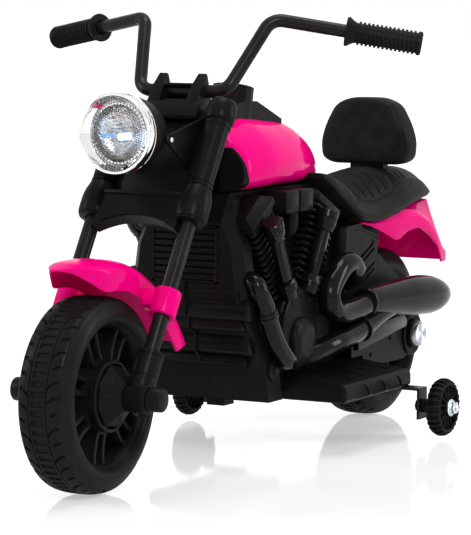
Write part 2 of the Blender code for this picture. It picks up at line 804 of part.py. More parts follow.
def build_front_fender():
    """A crowned blade over the tyre, flared at the front tip, carried by a sleeve round each fork tube."""
    top = WHEEL_RADIUS + FRONT_FENDER_RISE
    stations = []
    count = 10
    for step in range(count + 1):
        share = step / count
        angle = math.radians(118.0 - 106.0 * share)
        rise = 0.011 * max(0.0, 1.0 - share / 0.25) ** 1.5 + 0.007 * max(0.0, share - 0.6)
        half = 0.0345 * min(1.0, 0.25 + 2.6 * share) ** 0.6
        half += 0.0055 * min(1.0, max(0.0, share - 0.45) / 0.25)
        skirt = 0.004 + 0.030 * math.sin(math.pi / 2 * min(1.0, share / 0.75)) ** 2.6
        skirt -= 0.014 * max(0.0, (share - 0.75) / 0.25)
        stations.append((angle, top + rise, half, skirt))
    builder = bmesh.new()
    rows = []
    for angle, radius, half, skirt in stations:
        row = []
        for across, drop in (
            (-1.0, 1.0),
            (-1.0, 0.45),
            (-0.90, 0.20),
            (-0.55, 0.04),
            (0.0, 0.0),
            (0.55, 0.04),
            (0.90, 0.20),
            (1.0, 0.45),
            (1.0, 1.0),
        ):
            row.append(builder.verts.new(arc_point(radius - skirt * drop, angle, across * half)))
        rows.append(row)
    for here, there in zip(rows, rows[1:]):
        for index in range(len(here) - 1):
            builder.faces.new((here[index], here[index + 1], there[index + 1], there[index]))
    fender = place("front_fender", mesh_from(builder), PINK, FRONT_AXLE)
    wall = fender.modifiers.new("Wall", "SOLIDIFY")
    wall.thickness = FENDER_WALL
    wall.offset = -1.0
    line = (FORK_HALF_WIDTH, 0.0)
    for side in (1, -1):
        spot = (side * line[0], 0.0)
        sleeve = rod((*spot, FENDER_SLEEVE_LOW), (*spot, FENDER_SLEEVE_HIGH), FENDER_SLEEVE_RADIUS, sides=12)
        bore = rod((*spot, FENDER_SLEEVE_LOW - 0.045), (*spot, FENDER_SLEEVE_HIGH + 0.076), FORK_TUBE_RADIUS + GAP)
        low, high = sorted((side * 0.0335, side * (FORK_HALF_WIDTH - FORK_TUBE_RADIUS)))
        web = block((low, -0.007, FENDER_SLEEVE_LOW + 0.010), (high, 0.007, FENDER_SLEEVE_HIGH - 0.001))
        join(
            fender,
            place("fender_web", web, parent=FRONT_AXLE),
            place("fender_sleeve", sleeve, parent=FRONT_AXLE),
        )
        cut(fender, place("fender_bore", bore, parent=FRONT_AXLE))


build_wheel("front_wheel", FRONT_AXLE)
build_hub_cap()
build_front_axle()
build_fork_tubes()
PLATE_TOP = build_fork_cover()
build_handlebar(PLATE_TOP)
build_grips()
build_headlight()
build_front_fender()


def seat_base(y):
    """Height of the seat's underside, which slopes up to the rear."""
    return SEAT_BASE_Z + SEAT_SLOPE * (y - 0.170)


def radiator_block():
    """The wide front of the body, tapering up to the neck."""
    depth = 0.031
    rings = []
    for z, half, front in (
        (0.183, RADIATOR_HALF_WIDTH, BODY_FRONT_Y + 0.003),
        (0.200, RADIATOR_HALF_WIDTH - 0.001, BODY_FRONT_Y),
        (0.247, RADIATOR_HALF_WIDTH - 0.007, BODY_FRONT_Y),
        (0.272, RADIATOR_HALF_WIDTH - 0.018, BODY_FRONT_Y),
        (BODY_TOP, NECK_HALF_WIDTH + 0.008, BODY_FRONT_Y + 0.022),
    ):
        back = front + depth
        ring = [(half, back), (half, front + 0.012), (half - 0.010, front)]
        ring += [(-across, along) for across, along in reversed(ring)]
        rings.append([Vector((across, along, z)) for across, along in ring])
    return loft(rings)


def body_form():
    """The whole moulded body as one tool, before it is split into halves."""
    under_seat = seat_base(0.1755) - GAP
    under_fender = GAP + FENDER_WALL + GAP
    core = [(-0.128, BODY_TOP), (BODY_FRONT_Y, 0.272), (BODY_FRONT_Y, 0.200), (-0.138, 0.185)]
    core += [(-0.138, 0.160), (-0.124, 0.150), (-0.096, 0.108), (-0.084, BELLY_HEIGHT)]
    core += [(0.190, BELLY_HEIGHT), (0.212, 0.100), (0.212, 0.140), (0.236, 0.190), (0.262, 0.222)]
    core += [(0.262, seat_base(0.262) - under_fender), (0.1755, under_seat - under_fender + GAP)]
    core += [(0.1755, under_seat), (SEAT_FRONT_Y - GAP, seat_base(SEAT_FRONT_Y) - GAP), (SEAT_FRONT_Y - GAP, BODY_TOP)]
    form = place("body_form", prism(core, -CORE_HALF_WIDTH, CORE_HALF_WIDTH))
    neck = [(-0.1285, 0.280), (-0.0925, TANK_BOTTOM + 0.0465), (-0.060, TANK_BOTTOM + 0.0465), (-0.060, 0.280)]
    sill = [(-0.138, 0.1845), (-0.138, 0.162), (-0.126, 0.150), (-0.097, 0.108), (-0.086, BELLY_HEIGHT)]
    sill += [(-0.052, BELLY_HEIGHT), (-0.062, 0.100), (-0.100, 0.150), (-0.118, 0.1845)]
    crossbar_half = RADIATOR_HALF_WIDTH + 0.003
    foot = block((-0.011, -0.076, FOOTREST_BOTTOM - 0.001), (0.011, -0.052, BELLY_HEIGHT + 0.004))
    join(
        form,
        place("body_neck", prism(neck, -NECK_HALF_WIDTH, NECK_HALF_WIDTH)),
        place("body_radiator", radiator_block()),
        place("body_sill", prism(sill, -RADIATOR_HALF_WIDTH, RADIATOR_HALF_WIDTH)),
        place("body_crossbar", rod((-crossbar_half, -0.127, 0.176), (crossbar_half, -0.127, 0.176), 0.0115)),
        place("body_pivot", rod((-crossbar_half, -0.078, 0.104), (crossbar_half, -0.078, 0.104), 0.0125)),
        place("body_foot", foot),
    )
    head_tube = rod((0, 0, HEAD_TUBE_LOW), (0, 0, HEAD_TUBE_HIGH), HEAD_TUBE_RADIUS)
    web_back = 0.082
    web = block((-0.012, 0.006, HEAD_TUBE_LOW + 0.006), (0.012, web_back, HEAD_TUBE_HIGH - 0.003))
    join(form, place("head_tube", head_tube, parent=STEERING), place("head_web", web, parent=STEERING))
    cover = [(0.118, 0.160), (0.118, seat_base(0.118) - 0.001), (0.1725, seat_base(0.1725) - 0.0015)]
    cover += [(0.1725, 0.2460), (0.205, 0.2375), (0.2165, 0.2325), (0.2185, 0.160)]
    arm = [(0.150, 0.092), (0.150, 0.165), (0.222, 0.172), (0.222, 0.212), (0.284, 0.178), (0.310, 0.140)]
    arm += [(0.341, 0.118), (0.341, 0.090), (0.300, 0.076), (0.182, 0.076), (0.182, 0.092)]
    for side in (1, -1):
        cover_low, cover_high = sorted((side * (CORE_HALF_WIDTH - 0.002), side * SIDE_COVER_HALF_WIDTH))
        arm_low, arm_high = sorted((side * ARM_INNER, side * ARM_OUTER))
        cover_piece = place("side_cover", prism(cover, cover_low, cover_high))
        slots = []
        for row in range(LOUVRES):
            base = 0.176 + 0.0075 * row + (0.010 if row >= LOUVRES / 2 else 0.0)
            outer = side * (SIDE_COVER_HALF_WIDTH + 0.002)
            inner = side * (SIDE_COVER_HALF_WIDTH - 0.0016)
            low, high = sorted((inner, outer))
            slots.append(prism([(0.168, base), (0.208, base + 0.017), (0.208, base + 0.020), (0.168, base + 0.003)], low, high))
        cut(cover_piece, place("louvres", many(slots)))
        post = rod((side * 0.0585, 0.124, 0.205), (side * 0.0585, 0.124, seat_base(0.124) - 0.001), 0.0085, sides=14)
        boss = rod((side * ARM_INNER, REAR_AXLE_Y, AXLE_Z), (side * (ARM_OUTER + 0.002), REAR_AXLE_Y, AXLE_Z), BOSS_RADIUS)
        join(
            form,
            cover_piece,
            place("side_cover_post", post),
            place("rear_arm", prism(arm, arm_low, arm_high)),
            place("rear_boss", boss),
        )
    return form


def gearbox_outline(grow):
    """A capsule from the motor shaft to the rear axle, in the side view."""
    outline = []
    for y, z, radius, start in ((REAR_AXLE_Y, AXLE_Z, 0.019, -90.0), (MOTOR_Y, MOTOR_Z, 0.0185, 90.0)):
        for step in range(9):
            angle = math.radians(start + 22.5 * step)
            outline.append((y + (radius + grow) * math.cos(angle), z + (radius + grow) * math.sin(angle)))
    return outline


def build_body():
    """Two hollow halves that meet on the middle plane, open to each other inside."""
    form = body_form()
    wall = BODY_WALL
    inside = [(-0.108, BODY_TOP - 2 * wall), (-0.137, 0.264), (-0.137, 0.206), (-0.112, 0.158), (-0.086, 0.112)]
    inside += [(-0.076, BELLY_HEIGHT + 2 * wall), (0.182, BELLY_HEIGHT + 2 * wall), (0.204, 0.103), (0.204, 0.142)]
    inside += [(0.168, 0.166), (0.168, 0.238), (0.118, 0.242), (0.118, BODY_TOP - 2 * wall)]
    stem_clearance = rod((0, 0, HEAD_TUBE_LOW - 0.01), (0, 0, HEAD_TUBE_HIGH + 0.01), STEM_RADIUS + RUNNING_GAP)
    axle_seat = rod((-0.1, REAR_AXLE_Y, AXLE_Z), (0.1, REAR_AXLE_Y, AXLE_Z), AXLE_RADIUS + GAP, sides=16)
    grille = block((-0.0420, BODY_FRONT_Y - 0.02, 0.2045), (0.0420, BODY_FRONT_Y + 0.0045, 0.2695))
    clear = 2 * GAP
    notches = []
    for base, lean in ((FRONT_CYLINDER_BASE, FRONT_CYLINDER_LEAN), (REAR_CYLINDER_BASE, REAR_CYLINDER_LEAN)):
        reach = CYLINDER_HALF_WIDTH + 0.002 + clear
        tall = CYLINDER_LENGTH + 0.019 + clear
        for side in (1, -1):
            low, high = sorted((side * (CORE_HALF_WIDTH + GAP / 2), side * 0.1))
            notches.append(leaning(block((low, -reach, -0.010), (high, reach, tall)), base, lean))
    pocket = prism(gearbox_outline(2 * GAP), -(ARM_OUTER - 0.0030), -(ARM_INNER - 0.001))
    shared = [
        place("body_inside", prism(inside, -(CORE_HALF_WIDTH - wall), CORE_HALF_WIDTH - wall)),
        place("stem_clearance", stem_clearance, parent=STEERING),
        place("rear_axle_seat", axle_seat),
        place("grille_recess", grille),
        place("engine_notch", many(notches[:2])),
        place("engine_notch_rear", many(notches[2:])),
    ]
    for side, name in ((1, "body_shell_left"), (-1, "body_shell_right")):
        low, high = sorted((side * GAP / 2, side * 0.12))
        half = place(name, block((low, -0.4, 0.0), (high, 0.4, 0.5)), BLACK)
        combine(half, "INTERSECT", form)
        cut(half, *shared)
        if side < 0:
            cut(half, place("gearbox_pocket", pocket))


def build_grille():
    """The louvred insert in the front of the body."""
    low, high = 0.2045 + GAP, 0.2695 - GAP
    half = 0.0420 - GAP
    front, back = BODY_FRONT_Y - 0.0005, BODY_FRONT_Y + 0.0045 - GAP
    grille = place("front_grille", block((-half, front, low), (half, back, high)), BLACK)
    pitch = (high - low - 0.006) / GRILLE_SLATS
    slots = []
    for row in range(GRILLE_SLATS):
        z = low + 0.003 + pitch * row
        wedge = [(front - 0.001, z + 0.0012), (front + 0.0030, z + 0.0030), (front - 0.001, z + pitch - 0.001)]
        slots.append(prism(wedge, -half + 0.004, half - 0.004))
    cut(grille, place("grille_slots", many(slots)))


def build_drive():
    """Battery on the body's floor, and the gearbox with its motor beside the rear wheel."""
    size = BATTERY_SIZE
    floor = BELLY_HEIGHT + 2 * BODY_WALL + GAP
    battery = block((-size.x / 2, -0.062, floor), (size.x / 2, -0.062 + size.y, floor + size.z))
    place("battery", battery, GREY)
    face = ARM_INNER + GAP
    gearbox = place("gearbox", prism(gearbox_outline(0.0), -(ARM_OUTER - 0.0035), -face), WHITE)
    hole = rod((-0.1, REAR_AXLE_Y, AXLE_Z), (0.0, REAR_AXLE_Y, AXLE_Z), AXLE_RADIUS + GAP, sides=16)
    cut(gearbox, place("gearbox_bore", hole))
    start = -face + GAP
    motor = rod((start, MOTOR_Y, MOTOR_Z), (start + MOTOR_LENGTH, MOTOR_Y, MOTOR_Z), MOTOR_RADIUS)
    place("drive_motor", motor, STEEL)


def build_rear_axle():
    reach = ARM_OUTER + 0.0055
    place("rear_axle", rod((-reach, REAR_AXLE_Y, AXLE_Z), (reach, REAR_AXLE_Y, AXLE_Z), AXLE_RADIUS, sides=16), STEEL)
    base = ARM_OUTER + 0.002 + GAP
    cap = turned(
        "rear_axle_cap_left",
        [
            (base + 0.0120, 0.0),
            (base + 0.0120, 0.0135),
            (base + 0.0108, 0.0152),
            (base + 0.0045, 0.0152),
            (base + 0.0040, 0.0180),
            (base, 0.0180),
            (base, AXLE_RADIUS + GAP),
            (reach + GAP, AXLE_RADIUS + GAP),
            (reach + GAP, 0.0),
        ],
        coat=SILVER,
        parent=REAR_AXLE,
    )
    mirrored(cap, "rear_axle_cap_right")


def leaning(mesh, base, lean):
    """Turns a form built along +Z at the origin to a cylinder's lean, and sets it on the cylinder's base."""
    mesh.transform(Matrix.Translation((0.0, *base)) @ Matrix.Rotation(-lean, 4, "X"))
    return mesh


def finned_cylinder(name, base, lean, outer):
    """A cylinder whose cooling fins are cut as a comb, with its rocker box, leaning in the side view."""
    half = CYLINDER_HALF_WIDTH
    foot = CORE_HALF_WIDTH + GAP + 0.002
    root = outer - FIN_DEPTH
    pitch = CYLINDER_LENGTH / (FIN_COUNT + 0.5)
    comb = [(foot, -0.020), (root, -0.020)]
    for row in range(FIN_COUNT):
        low = pitch * (row + 0.4)
        comb += [(root, low), (outer, low), (outer, low + FIN_THICKNESS)]
        comb += [(root, low + FIN_THICKNESS)]
    comb += [(root, CYLINDER_LENGTH + 0.002), (foot, CYLINDER_LENGTH + 0.002)]
    piece = place(name, leaning(prism(comb, -half, half, FRONT_VIEW), base, lean))
    rocker_low, rocker_high = CYLINDER_LENGTH, CYLINDER_LENGTH + 0.019
    cover = [(-half - 0.002, rocker_low), (half + 0.002, rocker_low), (half + 0.002, rocker_high - 0.006)]
    cover += [(half - 0.006, rocker_high), (-half + 0.006, rocker_high), (-half - 0.002, rocker_high - 0.006)]
    rocker = leaning(prism(cover, foot - 0.001, outer + 0.002), base, lean)
    return join(piece, place(name + "_rocker", rocker))


def pushrod(foot, head):
    """A pushrod tube between a collar on the crankcase and a cup under the rocker box."""
    foot, head = Vector(foot), Vector(head)
    run = (head - foot).normalized()
    piece = place("pushrod", rod(foot, head, PUSHROD_RADIUS, sides=8))
    cup = rod(head - run * 0.022, head, PUSHROD_CAP_RADIUS * 0.85, PUSHROD_CAP_RADIUS, 10)
    collar = rod(foot, foot + run * 0.014, PUSHROD_CAP_RADIUS, PUSHROD_CAP_RADIUS * 0.9, 10)
    return join(piece, place("pushrod_cup", cup), place("pushrod_collar", collar))


def build_engine():
    """The V-twin moulding on the body's side, and its cam cover and intake."""
    foot = CORE_HALF_WIDTH + GAP
    plate = [(-0.108, 0.262), (-0.070, 0.272), (0.070, 0.272), (0.112, 0.244), (0.112, 0.110)]
    plate += [(0.084, 0.096), (-0.048, 0.096), (-0.060, 0.108), (-0.104, 0.170)]
    engine = place("engine_cover_left", prism(plate, foot, foot + ENGINE_WALL), BLACK)
    case_radius = CRANKCASE_RADIUS
    case = rod((foot + 0.001, CRANK_Y, CRANK_Z + 0.014), (CRANKCASE_OUTER, CRANK_Y, CRANK_Z + 0.014), case_radius)
    case_cut = block((0.0, -0.2, 0.0), (0.2, 0.2, 0.0985))
    case_piece = place("crankcase", case)
    cut(case_piece, place("crankcase_foot", case_cut))
    down = [(0.0560, -0.105, 0.214), (0.0640, -0.1070, 0.206), (0.0750, -0.1070, 0.192), (0.0835, -0.105, 0.168)]
    down += [(0.0860, -0.090, 0.126), (0.0860, -0.070, 0.112), (0.0830, -0.058, 0.110), (0.0680, -0.048, 0.118)]
    clamp_low, clamp_high = Vector((0.0825, -0.1080, 0.178)), Vector((0.0840, -0.1035, 0.160))
    stub = rod((foot + 0.004, -0.105, 0.214), (0.0600, -0.105, 0.214), 0.0085, sides=8)
    join(
        engine,
        case_piece,
        finned_cylinder("front_cylinder", FRONT_CYLINDER_BASE, FRONT_CYLINDER_LEAN, CYLINDER_OUTER),
        finned_cylinder("rear_cylinder", REAR_CYLINDER_BASE, REAR_CYLINDER_LEAN, CYLINDER_OUTER - 0.001),
        pushrod((0.0760, CRANK_Y - 0.030, 0.178), (0.0830, -0.100, 0.264)),
        pushrod((0.0760, CRANK_Y + 0.020, 0.178), (0.0830, 0.041, 0.268)),
        place("down_pipe", tube(smooth_path(down, 2), 0.0085, resolution=1)),
        place("down_pipe_stub", stub),
        place("down_pipe_clamp", rod(clamp_low, clamp_high, 0.0105, sides=10)),
    )
    mirrored(engine, "engine_cover_right")
    cam = turned(
        "cam_cover_left",
        [
            (CRANKCASE_OUTER + GAP + CAM_COVER_DEPTH, 0.0),
            (CRANKCASE_OUTER + GAP + CAM_COVER_DEPTH, CAM_COVER_RADIUS - 0.006),
            (CRANKCASE_OUTER + GAP + CAM_COVER_DEPTH - 0.0025, CAM_COVER_RADIUS),
            (CRANKCASE_OUTER + GAP, CAM_COVER_RADIUS),
            (CRANKCASE_OUTER + GAP, 0.0),
        ],
        coat=BLACK,
        at=(0.0, CRANK_Y, CRANK_Z),
    )
    mirrored(cam, "cam_cover_right")
    top, low = TANK_BOTTOM - 3 * GAP, 0.2785
    boxes = [block((foot, y, low), (0.0800, y + 0.031, top)) for y in (-0.0590, -0.0230)]
    bridge = block((foot, -0.040, low + 0.006), (0.0680, -0.010, top - 0.004))
    elbow = [(0.0620, -0.024, low + 0.002), (0.0620, -0.023, 0.266), (0.0600, -0.019, 0.256)]
    elbow += [(foot + ENGINE_WALL + 0.009, -0.015, 0.252)]
    intake = place("intake_left", boxes[0], BLACK)
    join(
        intake,
        place("intake_box", boxes[1]),
        place("intake_bridge", bridge),
        place("intake_elbow", tube(smooth_path(elbow, 2), 0.0085, resolution=1)),
    )
    mirrored(intake, "intake_right")


def build_exhaust():
    """Two gloss pipes that meet in one tapered silencer, seated on the side cover and on the crankcase."""
    x = EXHAUST_X
    start = SIDE_COVER_HALF_WIDTH + 3 * GAP
    upper = [(start, 0.150, 0.205), (start + 0.006, 0.150, 0.205), (start + 0.015, 0.148, 0.206), (x - 0.002, 0.128, 0.2150)]
    upper += [(x, 0.100, 0.2200), (x, 0.072, 0.2120)]
    upper += [(x - 0.001, 0.046, 0.190), (x, 0.043, 0.172), (x, 0.062, 0.158), (x, 0.096, 0.156), (x, 0.132, 0.161)]
    lower = [(CRANKCASE_OUTER + LOWER_PIPE_RADIUS / 2, 0.0310, 0.116), (x - 0.001, 0.050, 0.119), (x, 0.068, 0.123)]
    lower += [(x, 0.100, 0.132), (x, 0.150, 0.143), (x, 0.190, 0.150)]
    silencer = []
    swell = []
    for y, z, radius in (
        (0.128, 0.1605, 0.0160),
        (0.165, 0.1585, 0.0145),
        (0.205, 0.1570, 0.0150),
        (0.250, 0.1560, 0.0195),
        (0.288, 0.1550, 0.0235),
        (0.318, 0.1545, 0.0220),
        (0.341, 0.1535, 0.0150),
        (0.355, 0.1515, 0.0060),
    ):
        silencer.append((x + 0.02 * (y - 0.128), y, z))
        swell.append(radius / UPPER_PIPE_RADIUS)
    exhaust = place("exhaust_left", tube(silencer, UPPER_PIPE_RADIUS, swell), GLOSS)
    fin = [(0.100, 0.103), (0.236, 0.124), (0.236, 0.136), (0.150, 0.136)]
    join(
        exhaust,
        place("upper_pipe", tube(upper, UPPER_PIPE_RADIUS)),
        place("lower_pipe", tube(lower, LOWER_PIPE_RADIUS)),
        place("upper_collar", rod((x, 0.124, 0.1603), (x, 0.131, 0.1606), UPPER_PIPE_RADIUS + 0.0045)),
        place("lower_collar", rod((x, 0.112, 0.1345), (x, 0.119, 0.1362), LOWER_PIPE_RADIUS + 0.0035)),
        place("exhaust_fin", prism(fin, x - 0.004, x + 0.004)),
    )
    mirrored(exhaust, "exhaust_right")


def build_footrests():
    """Sloping footboards; the right one has the pocket of the accelerator pedal."""
    inner = CORE_HALF_WIDTH + GAP
    outer = FOOTREST_OUTER
    low, high, fall = FOOTREST_BOTTOM, FOOTREST_TOP, FOOTREST_FALL
    outline = [(inner, low), (outer - 0.004, low), (outer, low + 0.004), (outer, high - fall - 0.004)]
    outline += [(outer - 0.005, high - fall), (inner, high)]
    board = prism(outline, -FOOTREST_BACK, -FOOTREST_FRONT, FRONT_VIEW)
    left = place("footrest_left", board, BLACK)
    bevel = left.modifiers.new("Edges", "BEVEL")
    bevel.width = 0.003
    bevel.segments = 2
    bevel.angle_limit = math.radians(50.0)
    grooves = []
    slope = fall / (outer - inner)
    for row in range(FOOTREST_RIBS):
        y = FOOTREST_FRONT + 0.045 + 0.035 * row
        near, far = inner + 0.010, outer - 0.016
        strip = [(near, high - slope * (near - inner) - 0.0012), (far, high - slope * (far - inner) - 0.0012)]
        strip += [(far, high + 0.003), (near, high + 0.003)]
        grooves.append(prism(strip, -(y + 0.0025), -y, FRONT_VIEW))
    for row in range(3):
        y = FOOTREST_FRONT + 0.045 + 0.045 * row
        grooves.append(rod((outer - 0.0015, y, low - 0.001), (outer + 0.01, y, low - 0.001), 0.019, sides=14))
    cut(left, place("footrest_grooves", many(grooves)))
    right = mirrored(left, "footrest_right")
    pocket = block((-0.1085, 0.010, 0.0740), (-0.0655, 0.0900, 0.12))
    pin = rod((-0.1115, 0.0840, 0.0795), (-0.0625, 0.0840, 0.0795), 0.0015, sides=10)
    cut(right, place("pedal_pocket", pocket))
    join(right, place("pedal_pin", pin))
    hinge = axis_empty("pedal_axis", (0.0, 0.0840, 0.0795))
    rest = math.radians(-11.0)
    plate = block((-0.1075, -0.0680, -0.0020), (-0.0665, 0.0, 0.0030), 0.001)
    plate.transform(Matrix.Rotation(rest, 4, "X"))
    pedal = place("accelerator_pedal", plate, BLACK, hinge)
    barrel = rod((-0.1075, 0.0, 0.0), (-0.0665, 0.0, 0.0), 0.0042, sides=14)
    join(pedal, place("pedal_barrel", barrel, parent=hinge))
    bore = rod((-0.12, 0.0, 0.0), (-0.05, 0.0, 0.0), 0.0015 + GAP, sides=10)
    cut(pedal, place("pedal_bore", bore, parent=hinge))


def tank_rings(grow):
    """Rings of the teardrop tank from the front to the tail, swollen by a clearance where asked."""
    rings = []
    for share in (0.0, 0.04, 0.12, 0.24, 0.38, 0.52, 0.66, 0.78, 0.88, 0.95, 0.99):
        y = TANK_FRONT_Y + (TANK_BACK_Y - TANK_FRONT_Y) * share
        front = min(1.0, share / 0.22) ** 0.6
        half = TANK_HALF_WIDTH * (1.0 - share**2.2) ** 0.85 * (0.90 + 0.10 * front) + grow
        saddle = 1.0 - 0.06 * min(1.0, max(0.0, (0.62 - share) / 0.20))
        height = TANK_HEIGHT * saddle * (1.0 - share**2.6) ** 0.6 * (0.80 + 0.20 * front) + grow
        belt = TANK_BOTTOM + 0.32 * height
        ring = []
        count = 20
        for step in range(count):
            turn = 2 * math.pi * (step + 0.5) / count
            across, up = math.cos(turn), math.sin(turn)
            power = 2 / 1.85 if up > 0 else 2 / 3.2
            rise = (TANK_BOTTOM + height - belt) if up > 0 else (belt - TANK_BOTTOM + grow)
            ring.append(
                Vector(
                    (
                        half * math.copysign(abs(across) ** power, across),
                        y,
                        belt + rise * math.copysign(abs(up) ** power, up),
                    )
                )
            )
        rings.append(ring)
    return rings


def build_tank():
    """The painted tank, notched round the body's neck and cut back clear of the turning yoke."""
    tank = place("fuel_tank", loft(tank_rings(0.0)), PINK)
    grow = 2 * GAP
    half = NECK_HALF_WIDTH + grow
    notch = block((-half, -0.2, 0.25), (half, -0.060 + grow, TANK_BOTTOM + 0.0465 + grow))
    yoke_sweep = block((-0.1, -0.2, 0.15), (0.1, 0.040, 0.50))
    cut(tank, place("neck_notch", notch), place("yoke_sweep", yoke_sweep, parent=STEERING))


def build_console():
    """The strip on the tank's ridge with its round gauge pod, two rockers and two sound buttons."""
    half = CONSOLE_HALF_WIDTH
    ridge = [(-0.100, 0.350), (-0.100, 0.3950), (-0.060, 0.4010), (-0.022, 0.4010), (0.040, 0.3790), (0.040, 0.350)]
    console = place("dash_console", prism(ridge, -half, half), BLACK)
    lean = Vector((0.0, 0.22, 1.0)).normalized()
    pod_foot, pod_head = Vector((0.0, -0.046, 0.380)), Vector((0.0, -0.046, 0.380)) + lean * 0.0385
    join(console, place("gauge_pod", rod(pod_foot, pod_head, half + 0.0015)))
    dish_floor = pod_head - lean * 0.0022
    dish = rod(dish_floor, pod_head + lean * 0.01, half - 0.002)
    skin = loft(tank_rings(GAP))
    sweep = block((-0.1, -0.2, 0.15), (0.1, 0.040, 0.50))
    cut(
        console,
        place("console_seat", skin),
        place("gauge_dish", dish),
        place("console_sweep", sweep, parent=STEERING),
    )
    face = rod(dish_floor + lean * GAP, dish_floor + lean * 0.0016, half - 0.002 - GAP)
    place("gauge_face", face, WHITE)
    slope = math.atan2(0.022, 0.062)
    deck = axis_empty("console_deck", (0.0, -0.022, 0.4010), (-slope, 0.0, 0.0))
    for across, name, tilt in ((0.0095, "power_switch", 0.14), (-0.0095, "direction_switch", 0.0)):
        spot = (across, 0.0240, 0.0)
        rocker = block((-0.0048, -0.0065, -0.0026), (0.0048, 0.0065, 0.0030), 0.0007)
        rocker.transform(Matrix.Rotation(tilt, 4, "X"))
        pivot = axis_empty(name + "_axis", spot, parent=deck)
        place(name, rocker, BLACK, pivot)
        well = block((-0.0054, -0.0080, -0.0042), (0.0054, 0.0080, 0.02))
        cut(console, place(name + "_well", well, parent=pivot))
    for across, name in ((0.0085, "music_button"), (-0.0085, "horn_button")):
        pivot = axis_empty(name + "_axis", (across, 0.0450, 0.0), parent=deck)
        place(name, rod((0, 0, -0.0018), (0, 0, 0.0030), 0.0046, 0.0043, 14), WHITE, pivot)
        well = rod((0, 0, -0.0040), (0, 0, 0.02), 0.0054, sides=14)
        cut(console, place(name + "_well", well, parent=pivot))


def build_seat():
    """The saddle: a crowned cushion with drawn-in sides and sewn channels that bow across it."""
    channel_front, channel_back = SEAT_FRONT_Y + 0.0515, SEAT_BACK_Y - 0.046
    rows = [(SEAT_FRONT_Y + behind, 0.0) for behind in (0.0, 0.0095, 0.0275, 0.0415)]
    for line in range(2 * SEAT_CHANNELS - 1):
        share = (line / (2 * SEAT_CHANNELS - 2)) ** 1.35
        rows.append((channel_front + (channel_back - channel_front) * share, float(line % 2 == 0)))
    rows += [(SEAT_BACK_Y - ahead, 0.0) for ahead in (0.032, 0.018, 0.007, 0.0)]
    columns = 8
    rings = []
    for y, seam in rows:
        share = (y - SEAT_FRONT_Y) / (SEAT_BACK_Y - SEAT_FRONT_Y)
        half = SEAT_HALF_WIDTH * (0.885 + 0.115 * min(1.0, share / 0.16) ** 0.7)
        taper = max(0.0, (share - 0.30) / 0.70)
        half *= 1.0 - 0.48 * taper**1.35 - 0.28 * taper**12
        crown = 0.3025 - 0.0065 * math.sin(math.pi * min(1.0, share / 0.62)) ** 2
        crown -= 0.0020 * min(1.0, max(0.0, share - 0.62) / 0.10)
        crown -= 0.024 * max(0.0, (share - 0.86) / 0.14) ** 2.0
        low = seat_base(y)
        lip = 0.0035
        ring = []
        for column in range(-columns, columns + 1):
            across = math.sin(math.pi / 2 * column / columns)
            fill = (1.0 - abs(across) ** 1.8) ** 0.72
            z = low + lip + (crown - low - lip) * fill
            pad = max(0.0, 1.0 - (abs(across) / 0.80) ** 6)
            z -= CHANNEL_DEPTH * seam * pad
            bow = 0.012 * (1.0 - across**2) * min(1.0, max(0.0, share - 0.13) / 0.1)
            bow *= min(1.0, (1.0 - share) / 0.12)
            ring.append(Vector((half * across, y + bow, z)))
        tuck = half - 0.003
        ring += [Vector((tuck, y, low)), Vector((0.0, y, low)), Vector((-tuck, y, low))]
        rings.append(ring)
    seat = place("seat", loft(rings), LEATHER)
    slot = block((-POST_HALF_WIDTH - GAP, PAD_FRONT_Y + 0.013 - GAP, seat_base(0.320) + 0.010), (POST_HALF_WIDTH + GAP, PAD_FRONT_Y + 0.013 + POST_THICKNESS + GAP, 0.5))
    cut(seat, place("post_slot", slot))


def build_backrest():
    """A padded rest with a crowned front, on a flat post that plugs into the seat."""
    low = seat_base(0.320) + 0.010 + GAP
    front = PAD_FRONT_Y + 0.013
    post = block((-POST_HALF_WIDTH, front, low), (POST_HALF_WIDTH, front + POST_THICKNESS, PAD_BOTTOM + 0.022))
    place("backrest_post", post, BLACK)
    middle = (PAD_TOP + PAD_BOTTOM) / 2
    rise = (PAD_TOP - PAD_BOTTOM) / 2
    rings = []
    count = 24
    for depth, scale in ((0.0, 0.72), (0.003, 0.86), (0.010, 0.97), (0.018, 1.0), (0.030, 1.0), (0.037, 0.94), (0.040, 0.82)):
        ring = []
        for step in range(count):
            turn = 2 * math.pi * (step + 0.5) / count
            across = math.copysign(abs(math.cos(turn)) ** (2 / 2.9), math.cos(turn))
            up = math.copysign(abs(math.sin(turn)) ** (2 / 2.9), math.sin(turn))
            taper = 1.0 - 0.21 * max(0.0, up) ** 1.3 - 0.05 * max(0.0, -up) ** 2
            reach = PAD_HALF_WIDTH - (1.0 - scale) * 0.045
            drop = rise - (1.0 - scale) * 0.045
            ring.append(Vector((reach * taper * across, PAD_FRONT_Y + depth * PAD_THICKNESS / 0.040, middle + drop * up)))
        rings.append(ring)
    pad = place("backrest_pad", loft(rings), LEATHER)
    slot = block((-POST_HALF_WIDTH - GAP, front - GAP, 0.2), (POST_HALF_WIDTH + GAP, front + POST_THICKNESS + GAP, PAD_BOTTOM + 0.022 + GAP))
    cut(pad, place("pad_slot", slot))


